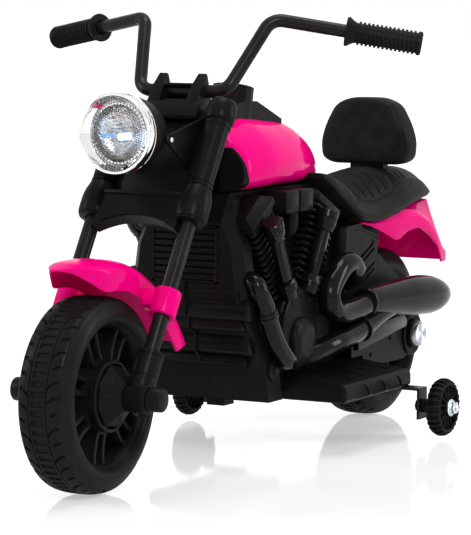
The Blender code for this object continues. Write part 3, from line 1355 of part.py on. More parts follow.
def build_rear_fender():
    """The skin under the seat and over the wheel, flared at the sides, with a closed tail."""
    half = REAR_FENDER_HALF_WIDTH
    hem = REAR_FENDER_HEM
    back = REAR_FENDER_BACK_Y
    top_drop = GAP
    builder = bmesh.new()
    rows = []
    for y, shoulder, shoulder_drop, flare, flare_z, side, opening in (
        (0.1765, 0.0480, 0.0, 0.0600, 0.2525, 0.0605, 0.2480),
        (0.205, 0.0480, 0.0, 0.0625, 0.2535, 0.0640, 0.2410),
        (0.245, 0.0480, 0.0, 0.0640, 0.2550, half, 0.2240),
        (0.265, 0.0480, 0.0, 0.0645, 0.2565, half, 0.2285),
        (0.300, 0.0480, 0.0, 0.0645, 0.2575, half, 0.2365),
        (0.330, 0.0480, 0.001, 0.0640, 0.2550, half, 0.2340),
        (0.355, 0.0470, 0.002, 0.0630, 0.2490, half, 0.2255),
        (0.375, 0.0460, 0.003, 0.0620, 0.2400, 0.0655, 0.2080),
        (0.392, 0.0440, 0.003, 0.0605, 0.2300, 0.0650, hem),
        (0.411, 0.0410, 0.003, 0.0585, 0.2220, 0.0625, hem),
        (0.415, 0.0400, 0.017, 0.0570, 0.2180, 0.0610, hem),
        (0.434, 0.0360, 0.022, 0.0540, 0.2120, 0.0575, hem),
        (back, 0.0310, 0.031, 0.0500, 0.2060, 0.0530, hem),
    ):
        top = seat_base(y) - top_drop
        spine = top - shoulder_drop if y > 0.412 else top
        row = [(0.0, spine), (shoulder, top - shoulder_drop), (flare, min(flare_z, top - 0.002)), (side, (flare_z + opening) / 2), (side, opening)]
        points = [(-across, z) for across, z in reversed(row[1:])] + row
        rows.append([builder.verts.new((across, y, z)) for across, z in points])
    for here, there in zip(rows, rows[1:]):
        for index in range(len(here) - 1):
            builder.faces.new((here[index], here[index + 1], there[index + 1], there[index]))
    builder.faces.new(rows[-1])
    fender = place("rear_fender", mesh_from(builder), PINK)
    wall = fender.modifiers.new("Wall", "SOLIDIFY")
    wall.thickness = FENDER_WALL
    wall.offset = -1.0
    lamp = block((-0.019, back + GAP, 0.210), (0.019, back + TAIL_LAMP_DEPTH, 0.230))
    place("tail_lamp", lamp, RED)


def build_training_wheels():
    """Ribbed training wheels on bolts through L brackets under the footboards."""
    z = TRAINING_RADIUS + TRAINING_GAP
    axle = axis_empty("training_axis_left", (0.0, TRAINING_Y, z))
    inner, outer = TRAINING_INNER, TRAINING_INNER + TRAINING_WIDTH
    radius = TRAINING_RADIUS
    rim = radius - 0.0085
    wheel = turned(
        "training_wheel_left",
        [
            (outer - 0.001, rim),
            (outer, rim + 0.002),
            (outer - 0.0035, radius - 0.0015),
            (outer - 0.0065, radius),
            (inner + 0.0065, radius),
            (inner + 0.0035, radius - 0.0015),
            (inner, rim + 0.002),
            (inner + 0.001, rim),
        ],
        TRAINING_STEPS,
        closed=True,
        coat=TYRE,
        parent=axle,
    )
    hub = turned(
        "training_hub",
        [
            (outer, 0.0085),
            (inner, 0.0085),
            (inner, BOLT_RADIUS + RUNNING_GAP),
            (outer, BOLT_RADIUS + RUNNING_GAP),
        ],
        14,
        closed=True,
        parent=axle,
    )
    bars = []
    for spoke in range(TRAINING_SPOKES):
        bar = block((inner + 0.004, -0.0012, 0.007), (outer - 0.004, 0.0012, rim + 0.001))
        bar.transform(turn_x(2 * math.pi * (spoke + 0.5) / TRAINING_SPOKES))
        bars.append(bar)
    join(hub, place("training_bars", many(bars), parent=axle))
    join(wheel, hub)
    right_axle = axis_empty("training_axis_right", (0.0, TRAINING_Y, z))
    mirrored(wheel, "training_wheel_right").parent = right_axle
    arm_top = FOOTREST_BOTTOM - GAP
    plate_in, plate_out = BRACKET_X, BRACKET_X + BRACKET_THICKNESS
    outline = [(BRACKET_REACH, arm_top), (plate_out, arm_top), (plate_out, arm_top - BRACKET_DROP)]
    outline += [(plate_in, arm_top - BRACKET_DROP), (plate_in, arm_top - BRACKET_THICKNESS)]
    outline += [(BRACKET_REACH, arm_top - BRACKET_THICKNESS)]
    low_y, high_y = TRAINING_Y - BRACKET_WIDTH / 2, TRAINING_Y + BRACKET_WIDTH / 2
    bracket = place("training_bracket_left", prism(outline, -high_y, -low_y, FRONT_VIEW), TUBE)
    hole = rod((plate_in - 0.01, TRAINING_Y, z), (plate_out + 0.01, TRAINING_Y, z), BOLT_RADIUS + GAP, sides=14)
    cut(bracket, place("bolt_hole", hole))
    mirrored(bracket, "training_bracket_right")
    washer = outer + GAP
    nut = washer + 0.0015
    tip = nut + 0.0085
    bolt = turned(
        "training_bolt_left",
        [
            (tip, 0.0),
            (tip, BOLT_RADIUS),
            (inner - GAP, BOLT_RADIUS),
            (inner - GAP, 0.0080),
            (plate_out + GAP, 0.0080),
            (plate_out + GAP, BOLT_RADIUS),
            (plate_in - GAP, BOLT_RADIUS),
            (plate_in - GAP, 0.0070),
            (plate_in - 0.0050, 0.0070),
            (plate_in - 0.0050, 0.0),
        ],
        10,
        coat=ZINC,
        parent=axle,
    )
    join(
        bolt,
        place("training_nut", rod((nut - 0.0004, 0, 0), (nut + 0.0065, 0, 0), 0.0075, sides=6), parent=axle),
        place("training_washer", rod((washer, 0, 0), (nut, 0, 0), 0.0100, sides=10), parent=axle),
    )
    mirrored(bolt, "training_bolt_right")


build_body()
build_grille()
build_drive()
build_rear_axle()
build_wheel("rear_wheel", REAR_AXLE)
build_engine()
build_exhaust()
build_footrests()
build_tank()
build_console()
build_seat()
build_backrest()
build_rear_fender()
build_training_wheels()

# The origin lies on the floor, halfway between the front tyre and the tail lamp
for piece in list(PARTS.objects) + list(CUTTERS.objects):
    if piece.parent is None:
        piece.location.y += CENTRING
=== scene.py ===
"""Looks of the kids ride-on motorcycle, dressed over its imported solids.

Metres, +Z up, front wheel towards -Y. Tables in mm() hold millimetres.
"""

import math

import bmesh
import bpy
from mathutils import Matrix, Vector


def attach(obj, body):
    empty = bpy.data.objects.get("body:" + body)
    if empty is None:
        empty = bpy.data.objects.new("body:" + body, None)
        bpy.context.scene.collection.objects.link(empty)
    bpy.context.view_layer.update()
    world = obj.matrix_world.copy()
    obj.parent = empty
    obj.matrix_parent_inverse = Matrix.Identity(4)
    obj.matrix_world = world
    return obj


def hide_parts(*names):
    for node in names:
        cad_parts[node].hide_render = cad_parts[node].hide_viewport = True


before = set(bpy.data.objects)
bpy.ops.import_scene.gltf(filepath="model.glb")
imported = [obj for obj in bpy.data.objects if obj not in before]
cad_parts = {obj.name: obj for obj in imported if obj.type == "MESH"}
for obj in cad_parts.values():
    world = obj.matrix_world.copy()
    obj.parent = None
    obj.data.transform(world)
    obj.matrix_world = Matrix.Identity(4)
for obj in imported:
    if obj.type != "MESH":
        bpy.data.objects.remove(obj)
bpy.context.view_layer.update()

# Places shared with the solids: rake and axles, fork legs, lamp, training wheels, and the moulding's faces
RAKE = math.radians(32.0)
AXLE_Z = 0.105
SHIFT_Y = 0.00525
REAR_AXLE_Y = 0.32725
FORK_X = 0.0587
FORK_OFFSET = 0.020
LAMP_PIVOT = (-0.0730, 0.2762)
TRAINING_Y = 0.18125
TRAINING_Z = 0.0383
TANK_BOTTOM = 0.3038
ENGINE_FOOT = 0.0443
COVER_X = 0.0634

STEER = Matrix.Translation((0.0, -0.33579, 0.0944)) @ Matrix.Rotation(-RAKE, 4, "X")
FRONT_AXLE = STEER @ Matrix.Translation((0.0, -FORK_OFFSET, 0.0))
REAR_AXLE = Matrix.Translation((0.0, REAR_AXLE_Y, AXLE_Z))
LAMP = STEER @ Matrix.Translation((0.0, -0.1215, 0.2550)) @ Matrix.Rotation(RAKE + math.pi / 2, 4, "X")
BODY = Matrix.Translation((0.0, SHIFT_Y, 0.0))
MIRROR = Matrix.Scale(-1.0, 4, (1.0, 0.0, 0.0))
SIDE_VIEW = Matrix(((0, 0, 1, 0), (1, 0, 0, 0), (0, 1, 0, 0), (0, 0, 0, 1)))
TOP_VIEW = Matrix(((1, 0, 0, 0), (0, 0, 1, 0), (0, 1, 0, 0), (0, 0, 0, 1)))


# ---------------------------------------------------------------- finishes
class Writer:
    """Adds nodes to self.tree."""

    def node(self, kind, inputs=(), **settings):
        made = self.tree.nodes.new(kind)
        for key, value in settings.items():
            setattr(made, key, value)
        for key, value in dict(inputs).items():
            self.put(made.inputs[key], value)
        return made

    def put(self, socket, value):
        if isinstance(value, bpy.types.NodeSocket):
            self.tree.links.new(value, socket)
        else:
            socket.default_value = value

    def sums(self, operation, first, second=0.0):
        return self.node("ShaderNodeMath", {0: first, 1: second}, operation=operation).outputs[0]


class Shade(Writer):
    """A material in the making."""

    def __init__(self, name):
        self.material = bpy.data.materials.new(name)
        self.material.use_nodes = True
        self.tree = self.material.node_tree
        self.shader = self.tree.nodes["Principled BSDF"]
        self.object = self.tree.nodes.new("ShaderNodeTexCoord").outputs["Object"]

    def set(self, **inputs):
        names = {"colour": "Base Color", "roughness": "Roughness", "metallic": "Metallic", "normal": "Normal"}
        names.update(coat="Coat Weight", coat_roughness="Coat Roughness", sheen="Sheen Weight")
        names.update(transmission="Transmission Weight", ior="IOR", specular="Specular IOR Level")
        names.update(glow="Emission Color", glow_strength="Emission Strength", anisotropic="Anisotropic")
        for key, value in inputs.items():
            self.put(self.shader.inputs[names[key]], value)
        return self

    def noise(self, scale, detail=3.0, roughness=0.55, stretch=None):
        spot = self.object
        if stretch:
            spot = self.node("ShaderNodeMapping", {"Vector": spot, "Scale": stretch}).outputs["Vector"]
        inputs = {"Vector": spot, "Scale": scale, "Detail": detail, "Roughness": roughness}
        return self.node("ShaderNodeTexNoise", inputs).outputs["Fac"]

    def cells(self, scale, feature="DISTANCE_TO_EDGE"):
        inputs = {"Vector": self.object, "Scale": scale}
        return self.node("ShaderNodeTexVoronoi", inputs, feature=feature).outputs["Distance"]

    def spread(self, value, low, high, from_low=0.3, from_high=0.7):
        inputs = {"Value": value, "From Min": from_low, "From Max": from_high, "To Min": low, "To Max": high}
        return self.node("ShaderNodeMapRange", inputs).outputs["Result"]

    def tone(self, value, first, second, start=0.3, stop=0.7):
        made = self.node("ShaderNodeValToRGB", {"Fac": value})
        ramp = made.color_ramp.elements
        ramp[0].position, ramp[1].position = start, stop
        ramp[0].color, ramp[1].color = (*first, 1.0), (*second, 1.0)
        return made.outputs["Color"]

    def bump(self, height, strength, distance, under=None):
        inputs = {"Height": height, "Strength": strength, "Distance": distance}
        if under is not None:
            inputs["Normal"] = under
        return self.node("ShaderNodeBump", inputs).outputs["Normal"]

    def eased(self, radius):
        return self.node("ShaderNodeBevel", {"Radius": radius}, samples=6).outputs["Normal"]


def moulded(
    name,
    dark,
    light,
    low,
    high,
    grain=0.25,
    grain_size=900.0,
    ease=0.0006,
    coat=0.08,
    specular=0.02,
    coat_roughness=0.27,
):
    """Moulded plastic: a soft mottle, a fine spark grain, a patchy sheen and eased corners."""
    shade = Shade(name)
    mottle = shade.noise(9.0, 4.0)
    handling = shade.noise(55.0, 5.0, 0.6)
    spark = shade.noise(grain_size, 2.0, 0.5)
    normal = shade.bump(spark, grain, 0.00012, shade.eased(ease) if ease else None)
    normal = shade.bump(shade.noise(38.0, 2.0), 0.12, 0.0008, normal)
    shade.set(
        colour=shade.tone(mottle, dark, light),
        roughness=shade.spread(handling, low, high),
        normal=normal,
        coat=coat,
        coat_roughness=coat_roughness,
        specular=specular,
    )
    return shade.material


def painted_tube():
    shade = Shade("satin black tube paint")
    flow = shade.noise(30.0, 3.0)
    normal = shade.bump(shade.noise(300.0, 2.0), 0.015, 0.00003)
    shade.set(colour=shade.tone(flow, (0.010, 0.009, 0.009), (0.017, 0.015, 0.015)), normal=normal)
    shade.set(roughness=shade.spread(shade.noise(70.0, 4.0), 0.25, 0.29))
    shade.set(specular=0.02, coat=0.16, coat_roughness=0.18)
    return shade.material


def pink_gloss(name, dark, light, low, high):
    """Bright injection-moulded pink with a wet gloss and a faint ripple."""
    shade = Shade(name)
    flow = shade.noise(7.0, 3.0)
    ripple = shade.bump(shade.noise(26.0, 1.0), 0.05, 0.0012)
    shade.set(
        colour=shade.tone(flow, dark, light),
        roughness=shade.spread(shade.noise(90.0, 4.0), low, high),
        normal=shade.bump(shade.noise(700.0, 1.0), 0.02, 0.0001, ripple),
        specular=0.01,
        coat=0.07,
        coat_roughness=0.05,
    )
    return shade.material


def plated(name, colour, low, high, scratches=0.05):
    """Bright plating with faint clouding and hairline wiping marks."""
    shade = Shade(name)
    cloud = shade.noise(40.0, 3.0)
    hair = shade.noise(30.0, 4.0, 0.7, stretch=(1.0, 1.0, 40.0))
    tint = tuple(min(1.0, part * 1.12) for part in colour)
    shade.set(
        colour=shade.tone(cloud, colour, tint),
        metallic=1.0,
        roughness=shade.spread(hair, low, high),
        normal=shade.bump(hair, scratches, 0.00005),
    )
    return shade.material


def spun_silver():
    """Silver trim with fine turning marks that run round the axle, and painted highlight: its colour brightens
    in three sectors round the axle.
    """
    shade = Shade("spun silver trim")
    turned = shade.node("ShaderNodeMapping", {"Vector": shade.object, "Location": (0.0, -REAR_AXLE_Y, -AXLE_Z)})
    apart = shade.node("ShaderNodeSeparateXYZ", {"Vector": turned.outputs["Vector"]})
    angle = shade.sums("ARCTAN2", apart.outputs["Y"], apart.outputs["Z"])
    # Painted highlight: the colour goes from dark to bright three times round the axle.
    wave = shade.sums("SINE", shade.sums("MULTIPLY", angle, 3.0))
    painted_sector_highlight = shade.spread(wave, 0.0, 1.0, -1.0, 1.0)
    reach = shade.node("ShaderNodeVectorMath", {0: turned.outputs["Vector"]}, operation="LENGTH")
    groove = shade.sums("SINE", shade.sums("MULTIPLY", reach.outputs["Value"], 9000.0))
    shade.set(
        colour=shade.tone(painted_sector_highlight, (0.34, 0.36, 0.40), (0.80, 0.82, 0.86), 0.15, 0.85),
        metallic=1.0,
        roughness=shade.spread(shade.noise(300.0), 0.25, 0.38),
        normal=shade.bump(groove, 0.15, 0.00008),
    )
    return shade.material


def zinc_plate():
    shade = Shade("zinc plate")
    cloud = shade.noise(180.0, 5.0, 0.65)
    shade.set(
        colour=shade.tone(cloud, (0.42, 0.50, 0.56), (0.78, 0.82, 0.84)),
        metallic=1.0,
        roughness=shade.spread(shade.noise(500.0, 3.0), 0.22, 0.42),
        normal=shade.bump(shade.noise(900.0, 2.0), 0.12, 0.0001),
    )
    return shade.material


def leatherette():
    """Black leatherette: pebbled cells, slack wrinkles and a low sheen."""
    shade = Shade("black leatherette")
    warp = shade.noise(60.0, 3.0)
    pebble = shade.cells(620.0)
    fold = shade.noise(42.0, 4.0, 0.6, stretch=(1.0, 2.2, 1.0))
    normal = shade.bump(fold, 0.22, 0.0016)
    normal = shade.bump(shade.spread(pebble, 0.0, 1.0, 0.0, 0.35), 0.35, 0.00022, normal)
    shade.set(
        colour=shade.tone(warp, (0.008, 0.0074, 0.0072), (0.016, 0.0148, 0.0144)),
        roughness=shade.spread(shade.noise(34.0, 5.0), 0.40, 0.56),
        sheen=0.01,
        specular=0.01,
        coat=0.07,
        coat_roughness=0.34,
        normal=normal,
    )
    return shade.material


def clear_lens():
    shade = Shade("clear lens")
    wavy = shade.noise(240.0, 2.0)
    shade.set(
        colour=shade.tone(wavy, (0.93, 0.95, 0.97), (0.99, 0.99, 1.0)),
        transmission=1.0,
        ior=1.12,
        roughness=shade.spread(wavy, 0.0, 0.03),
        normal=shade.bump(wavy, 0.03, 0.0002),
    )
    return shade.material


def glowing_finish(name, near, far, strength):
    shade = Shade(name)
    core = shade.noise(500.0, 2.0)
    glow = shade.tone(core, near, far)
    shade.set(colour=glow, glow=glow, glow_strength=strength, roughness=shade.spread(core, 0.2, 0.4))
    return shade.material


def faceted_reflector():
    """Vacuum-plated reflector with the ripple of its small facets."""
    shade = Shade("faceted reflector")
    facet = shade.cells(330.0, "F1")
    shade.set(
        colour=shade.tone(shade.noise(120.0, 3.0), (0.42, 0.41, 0.40), (0.80, 0.78, 0.76)),
        metallic=1.0,
        roughness=shade.spread(shade.noise(200.0), 0.10, 0.22),
        normal=shade.bump(facet, 0.5, 0.0008),
    )
    return shade.material


# Moulded finishes: name, dark and light tone, low and high roughness, then what differs from the usual moulding
BLACK = moulded("matt black moulding", (0.0055, 0.0050, 0.0050), (0.0095, 0.0088, 0.0086), 0.34, 0.46)
SOFT_BLACK = moulded(
    "soft black grip", (0.008, 0.0075, 0.0075), (0.013, 0.0125, 0.0125), 0.50, 0.62, 0.3, 500.0, ease=0.0
)
# The darkest black: the gauge ticks and fender screws wear it, and it is also painted shade, as dark discs in
# the grille's holes and the lamp's drain ovals.
DEEP_BLACK_AND_PAINTED_SHADE = moulded("deep black and painted shade", (0.003, 0.003, 0.003), (0.005, 0.005, 0.005), 0.5, 0.65, ease=0.0)
GLOSS = moulded(
    "gloss black moulding",
    (0.004, 0.0037, 0.0037),
    (0.007, 0.0065, 0.0065),
    0.10,
    0.17,
    0.03,
    600.0,
    coat=0.22,
    coat_roughness=0.09,
)
TYRE = moulded(
    "tyre plastic", (0.0085, 0.0080, 0.0078), (0.0145, 0.0138, 0.0134), 0.44, 0.58, 0.3, 650.0, ease=0.0005
)
RIM = moulded("wheel moulding", (0.006, 0.0056, 0.0055), (0.0105, 0.0098, 0.0096), 0.30, 0.42, 0.15, 800.0)
TUBE = painted_tube()
PINK = pink_gloss("hot pink gloss", (0.87, 0.0, 0.20), (0.95, 0.0, 0.225), 0.08, 0.13)
# A darker copy of the pink, painted shade for shaded inside faces. No piece wears it.
PINK_PAINTED_SHADE = pink_gloss("pink with painted shade", (0.50, 0.0, 0.085), (0.62, 0.0, 0.12), 0.30, 0.42)
CHROME = plated("chrome plate", (0.80, 0.79, 0.78), 0.03, 0.09)
SCREW = plated("screw steel", (0.62, 0.62, 0.62), 0.2, 0.35, 0.2)
SILVER = spun_silver()
ZINC = zinc_plate()
STEEL = plated("bright drawn steel", (0.50, 0.50, 0.51), 0.25, 0.40, 0.2)
LEATHER = leatherette()
LENS = clear_lens()
DIODE = glowing_finish("lit white diode", (0.35, 0.62, 1.0), (0.92, 0.97, 1.0), 1.5)
# A faint blue glow that is no lamp: a painted glint beside the diode.
PAINTED_BLUE_GLINT = glowing_finish("painted blue glint", (0.06, 0.20, 0.52), (0.40, 0.62, 0.95), 0.25)
MIRRORED = faceted_reflector()
RED = moulded(
    "red lamp lens",
    (0.32, 0.004, 0.004),
    (0.48, 0.008, 0.008),
    0.10,
    0.18,
    0.05,
    500.0,
    ease=0.0004,
    coat=0.4,
    specular=0.16,
    coat_roughness=0.06,
)
GREY = moulded("grey battery case", (0.14, 0.14, 0.14), (0.19, 0.19, 0.19), 0.45, 0.6)
WHITE = moulded("white moulding", (0.62, 0.62, 0.60), (0.72, 0.72, 0.70), 0.35, 0.5)
CREAM = moulded("gauge dial", (0.70, 0.70, 0.68), (0.78, 0.78, 0.77), 0.3, 0.4, 0.05, 800.0, 0.0)


# ---------------------------------------------------------------- shaping tools
WELD = 0.000002


def mm(table, along=0.0):
    """Rows of lengths from a table in millimetres. The length along is added to the first of each row."""
    rows = [[float(part + "e-3") for part in row.split()] for row in table.split(",")]
    return [(along + first, *rest) for first, *rest in rows]


def moved(x, y, z):
    return Matrix.Translation((x, y, z))


def aimed(place, aim):
    """Stands a form that is built on Z at a place, along an aim."""
    return Matrix.Translation(place) @ Vector(aim).to_track_quat("Z", "Y").to_matrix().to_4x4()


def smooth(mesh, angle=38.0):
    mesh.shade_smooth()
    mesh.set_sharp_from_angle(angle=math.radians(angle))
    return mesh


def closed_mesh(builder, angle=38.0):
    bmesh.ops.remove_doubles(builder, verts=builder.verts, dist=WELD)
    bmesh.ops.recalc_face_normals(builder, faces=builder.faces)
    mesh = bpy.data.meshes.new("form")
    builder.to_mesh(mesh)
    builder.free()
    return smooth(mesh, angle)


def at(matrix, *meshes):
    """The meshes, joined and moved to their place."""
    builder = bmesh.new()
    for mesh in meshes:
        builder.from_mesh(mesh)
    mesh = bpy.data.meshes.new("form")
    builder.to_mesh(mesh)
    builder.free()
    mesh.transform(matrix)
    if matrix.determinant() < 0:
        mesh.flip_normals()
    return mesh


def gathered(*meshes):
    return at(Matrix.Identity(4), *meshes)


def both(*meshes):
    """A left-hand form with its right-hand copy."""
    left = gathered(*meshes)
    return gathered(left, at(MIRROR, left))


def applied(mesh, kind, **settings):
    """The mesh after one modifier."""
    holder = bpy.data.objects.new("holder", mesh)
    bpy.context.scene.collection.objects.link(holder)
    modifier = holder.modifiers.new(kind.title(), kind)
    for key, value in settings.items():
        setattr(modifier, key, value)
    graph = bpy.context.evaluated_depsgraph_get()
    made = bpy.data.meshes.new_from_object(holder.evaluated_get(graph))
    bpy.data.objects.remove(holder)
    return made


def eased(mesh, width, segments=2, angle=32.0):
    made = applied(
        mesh, "BEVEL", width=width, segments=segments, limit_method="ANGLE", angle_limit=math.radians(angle)
    )
    return smooth(made)


def walled(mesh, wall, offset=-1.0):
    return smooth(applied(mesh, "SOLIDIFY", thickness=wall, offset=offset, use_even_offset=True))


def carved(mesh, *tools, operation="DIFFERENCE"):
    for tool in tools:
        cutter = bpy.data.objects.new("cutter", tool)
        bpy.context.scene.collection.objects.link(cutter)
        mesh = applied(mesh, "BOOLEAN", object=cutter, operation=operation, solver="EXACT")
        bpy.data.objects.remove(cutter)
    return smooth(mesh)


def box(low, high, ease=0.0, segments=2):
    low, high = Vector(low), Vector(high)
    size = Matrix.Diagonal((*(high - low), 1.0))
    builder = bmesh.new()
    bmesh.ops.create_cube(builder, size=1.0, matrix=Matrix.Translation((low + high) / 2) @ size)
    if ease:
        bmesh.ops.bevel(
            builder, geom=list(builder.edges), offset=ease, segments=segments, affect="EDGES", profile=0.5
        )
    return closed_mesh(builder)


def rod(start, end, radius, end_radius=None, sides=40, ease=0.0):
    start, end = Vector(start), Vector(end)
    run = end - start
    tip = radius if end_radius is None else end_radius
    profile = [(run.length, 0.0), (run.length, tip), (0.0, radius), (0.0, 0.0)]
    mesh = lathe(profile, sides, "Z", ease=ease)
    return at(aimed(start, run), mesh)


def filleted(outline, radius, steps=3, closed=True):
    """An outline with its corners rounded to one radius, or less where a run is short."""
    spots = [Vector(spot) for spot in outline]
    made = []
    for index, spot in enumerate(spots):
        if not closed and index in (0, len(spots) - 1):
            made.append(spot)
            continue
        before, after = spots[index - 1], spots[(index + 1) % len(spots)]
        back, ahead = before - spot, after - spot
        reach = min(radius, back.length * 0.45, ahead.length * 0.45)
        if reach < 1e-6 or abs(back.normalized().dot(ahead.normalized()) + 1.0) < 0.002:
            made.append(spot)
            continue
        first, last = spot + back.normalized() * reach, spot + ahead.normalized() * reach
        for step in range(steps + 1):
            share = step / steps
            made.append(first * (1 - share) ** 2 + spot * 2 * share * (1 - share) + last * share**2)
    return made


def lathe(profile, sides=64, axis="X", closed=False, ease=0.0):
    """A turned form. A profile point is (place along the axis, radius)."""
    if ease:
        profile = filleted(profile, ease, closed=closed)
    builder = bmesh.new()
    rings = []
    for along, radius in profile:
        count = 1 if radius < 1e-7 else sides
        ring = []
        for step in range(count):
            turn = 2 * math.pi * step / count
            spot = (radius * math.cos(turn), radius * math.sin(turn), along)
            ring.append(builder.verts.new(spot if axis == "Z" else (along, spot[0], spot[1])))
        rings.append(ring)
    pairs = list(zip(rings, rings[1:]))
    if closed:
        pairs.append((rings[-1], rings[0]))
    for here, there in pairs:
        for step in range(max(len(here), len(there))):
            after = step + 1
            corners = [here[step % len(here)], here[after % len(here)]]
            corners += [there[after % len(there)], there[step % len(there)]]
            corners = list(dict.fromkeys(corners))
            if len(corners) > 2:
                builder.faces.new(corners)
    return closed_mesh(builder)


def prism(outline, low, high, view=SIDE_VIEW, ease=0.0, fillet=0.0, segments=2):
    """A flat outline given its thickness from low to high. The side view draws (y, z) and runs along X."""
    if fillet:
        outline = filleted(outline, fillet)
    curve = bpy.data.curves.new("outline", "CURVE")
    curve.dimensions = "2D"
    curve.fill_mode = "BOTH"
    curve.extrude = (high - low) / 2
    spline = curve.splines.new("POLY")
    spline.points.add(len(outline) - 1)
    for point, (across, up) in zip(spline.points, outline):
        point.co = (across, up, 0.0, 1.0)
    spline.use_cyclic_u = True
    mesh = mesh_of_curve(curve)
    mesh.transform(view @ Matrix.Translation((0.0, 0.0, (low + high) / 2)))
    return eased(mesh, ease, segments) if ease else mesh


def mesh_of_curve(curve):
    holder = bpy.data.objects.new("curve", curve)
    bpy.context.scene.collection.objects.link(holder)
    graph = bpy.context.evaluated_depsgraph_get()
    mesh = bpy.data.meshes.new_from_object(holder.evaluated_get(graph))
    bpy.data.objects.remove(holder)
    builder = bmesh.new()
    builder.from_mesh(mesh)
    return closed_mesh(builder)


def sweep(points, radius, swell=None, resolution=6):
    """A round bar along the points; swell holds each point's share of the radius."""
    curve = bpy.data.curves.new("sweep", "CURVE")
    curve.dimensions = "3D"
    curve.bevel_depth = radius
    curve.bevel_resolution = resolution
    curve.use_fill_caps = True
    spline = curve.splines.new("POLY")
    spline.points.add(len(points) - 1)
    for index, (point, spot) in enumerate(zip(spline.points, points)):
        point.co = (*spot, 1.0)
        point.radius = 1.0 if swell is None else swell[index]
    return mesh_of_curve(curve)


def smooth_path(points, steps):
    points = [Vector(point) for point in points]
    ends = [2 * points[0] - points[1], *points, 2 * points[-1] - points[-2]]
    path = []
    for before, start, end, after in zip(ends, ends[1:], ends[2:], ends[3:]):
        for step in range(steps):
            share = step / steps
            bend = 2 * start + (end - before) * share
            bend += (2 * before - 5 * start + 4 * end - after) * share**2
            bend += (3 * start - before - 3 * end + after) * share**3
            path.append(bend / 2)
    path.append(points[-1])
    return path


def held(value):
    return min(1.0, max(0.0, value))


def read_line(rows, place):
    """The value at a place, on a smooth line through (place, value) rows."""
    first, last = rows[0], rows[-1]
    rows = [(2 * first[0] - rows[1][0], first[1]), *rows, (2 * last[0] - rows[-2][0], last[1])]
    for before, start, end, after in zip(rows, rows[1:], rows[2:], rows[3:]):
        if place <= end[0] or end[0] == last[0]:
            run = end[0] - start[0]
            share = held((place - start[0]) / run)
            leave = (end[1] - before[1]) / (end[0] - before[0]) * run
            reach = (after[1] - start[1]) / (after[0] - start[0]) * run
            value = start[1] * (2 * share**3 - 3 * share**2 + 1) + end[1] * (3 * share**2 - 2 * share**3)
            return value + leave * (share**3 - 2 * share**2 + share) + reach * (share**3 - share**2)
    return last[1]


def bent_path(corners, bend, steps=12):
    """Straight runs joined by arcs of one bend radius, as a bent tube is made."""
    path = [corners[0]]
    for before, corner, after in zip(corners, corners[1:], corners[2:]):
        back = (before - corner).normalized()
        ahead = (after - corner).normalized()
        half = back.angle(ahead) / 2
        centre = corner + (back + ahead).normalized() * bend / math.sin(half)
        start = (corner + back * bend / math.tan(half) - centre).normalized()
        end = (corner + ahead * bend / math.tan(half) - centre).normalized()
        path += [centre + start.slerp(end, step / steps) * bend for step in range(steps + 1)]
    path.append(corners[-1])
    return path


def loft(rings, angle=38.0):
    builder = bmesh.new()
    loops = [[builder.verts.new(point) for point in ring] for ring in rings]
    for here, there in zip(loops, loops[1:]):
        for index in range(len(here)):
            following = (index + 1) % len(here)
            builder.faces.new((here[index], here[following], there[following], there[index]))
    builder.faces.new(loops[0])
    builder.faces.new(loops[-1])
    return closed_mesh(builder, angle)


def skin(rows, end=False, angle=38.0):
    """An open sheet through rows of points, with its last row filled where it ends in a wall."""
    builder = bmesh.new()
    rows = [[builder.verts.new(point) for point in row] for row in rows]
    for here, there in zip(rows, rows[1:]):
        for index in range(len(here) - 1):
            builder.faces.new((here[index], here[index + 1], there[index + 1], there[index]))
    if end:
        builder.faces.new(rows[-1])
    return closed_mesh(builder, angle)


def level_ring(left, right, front, back, z):
    return [Vector((x, y, z)) for x, y in ((left, front), (right, front), (right, back), (left, back))]


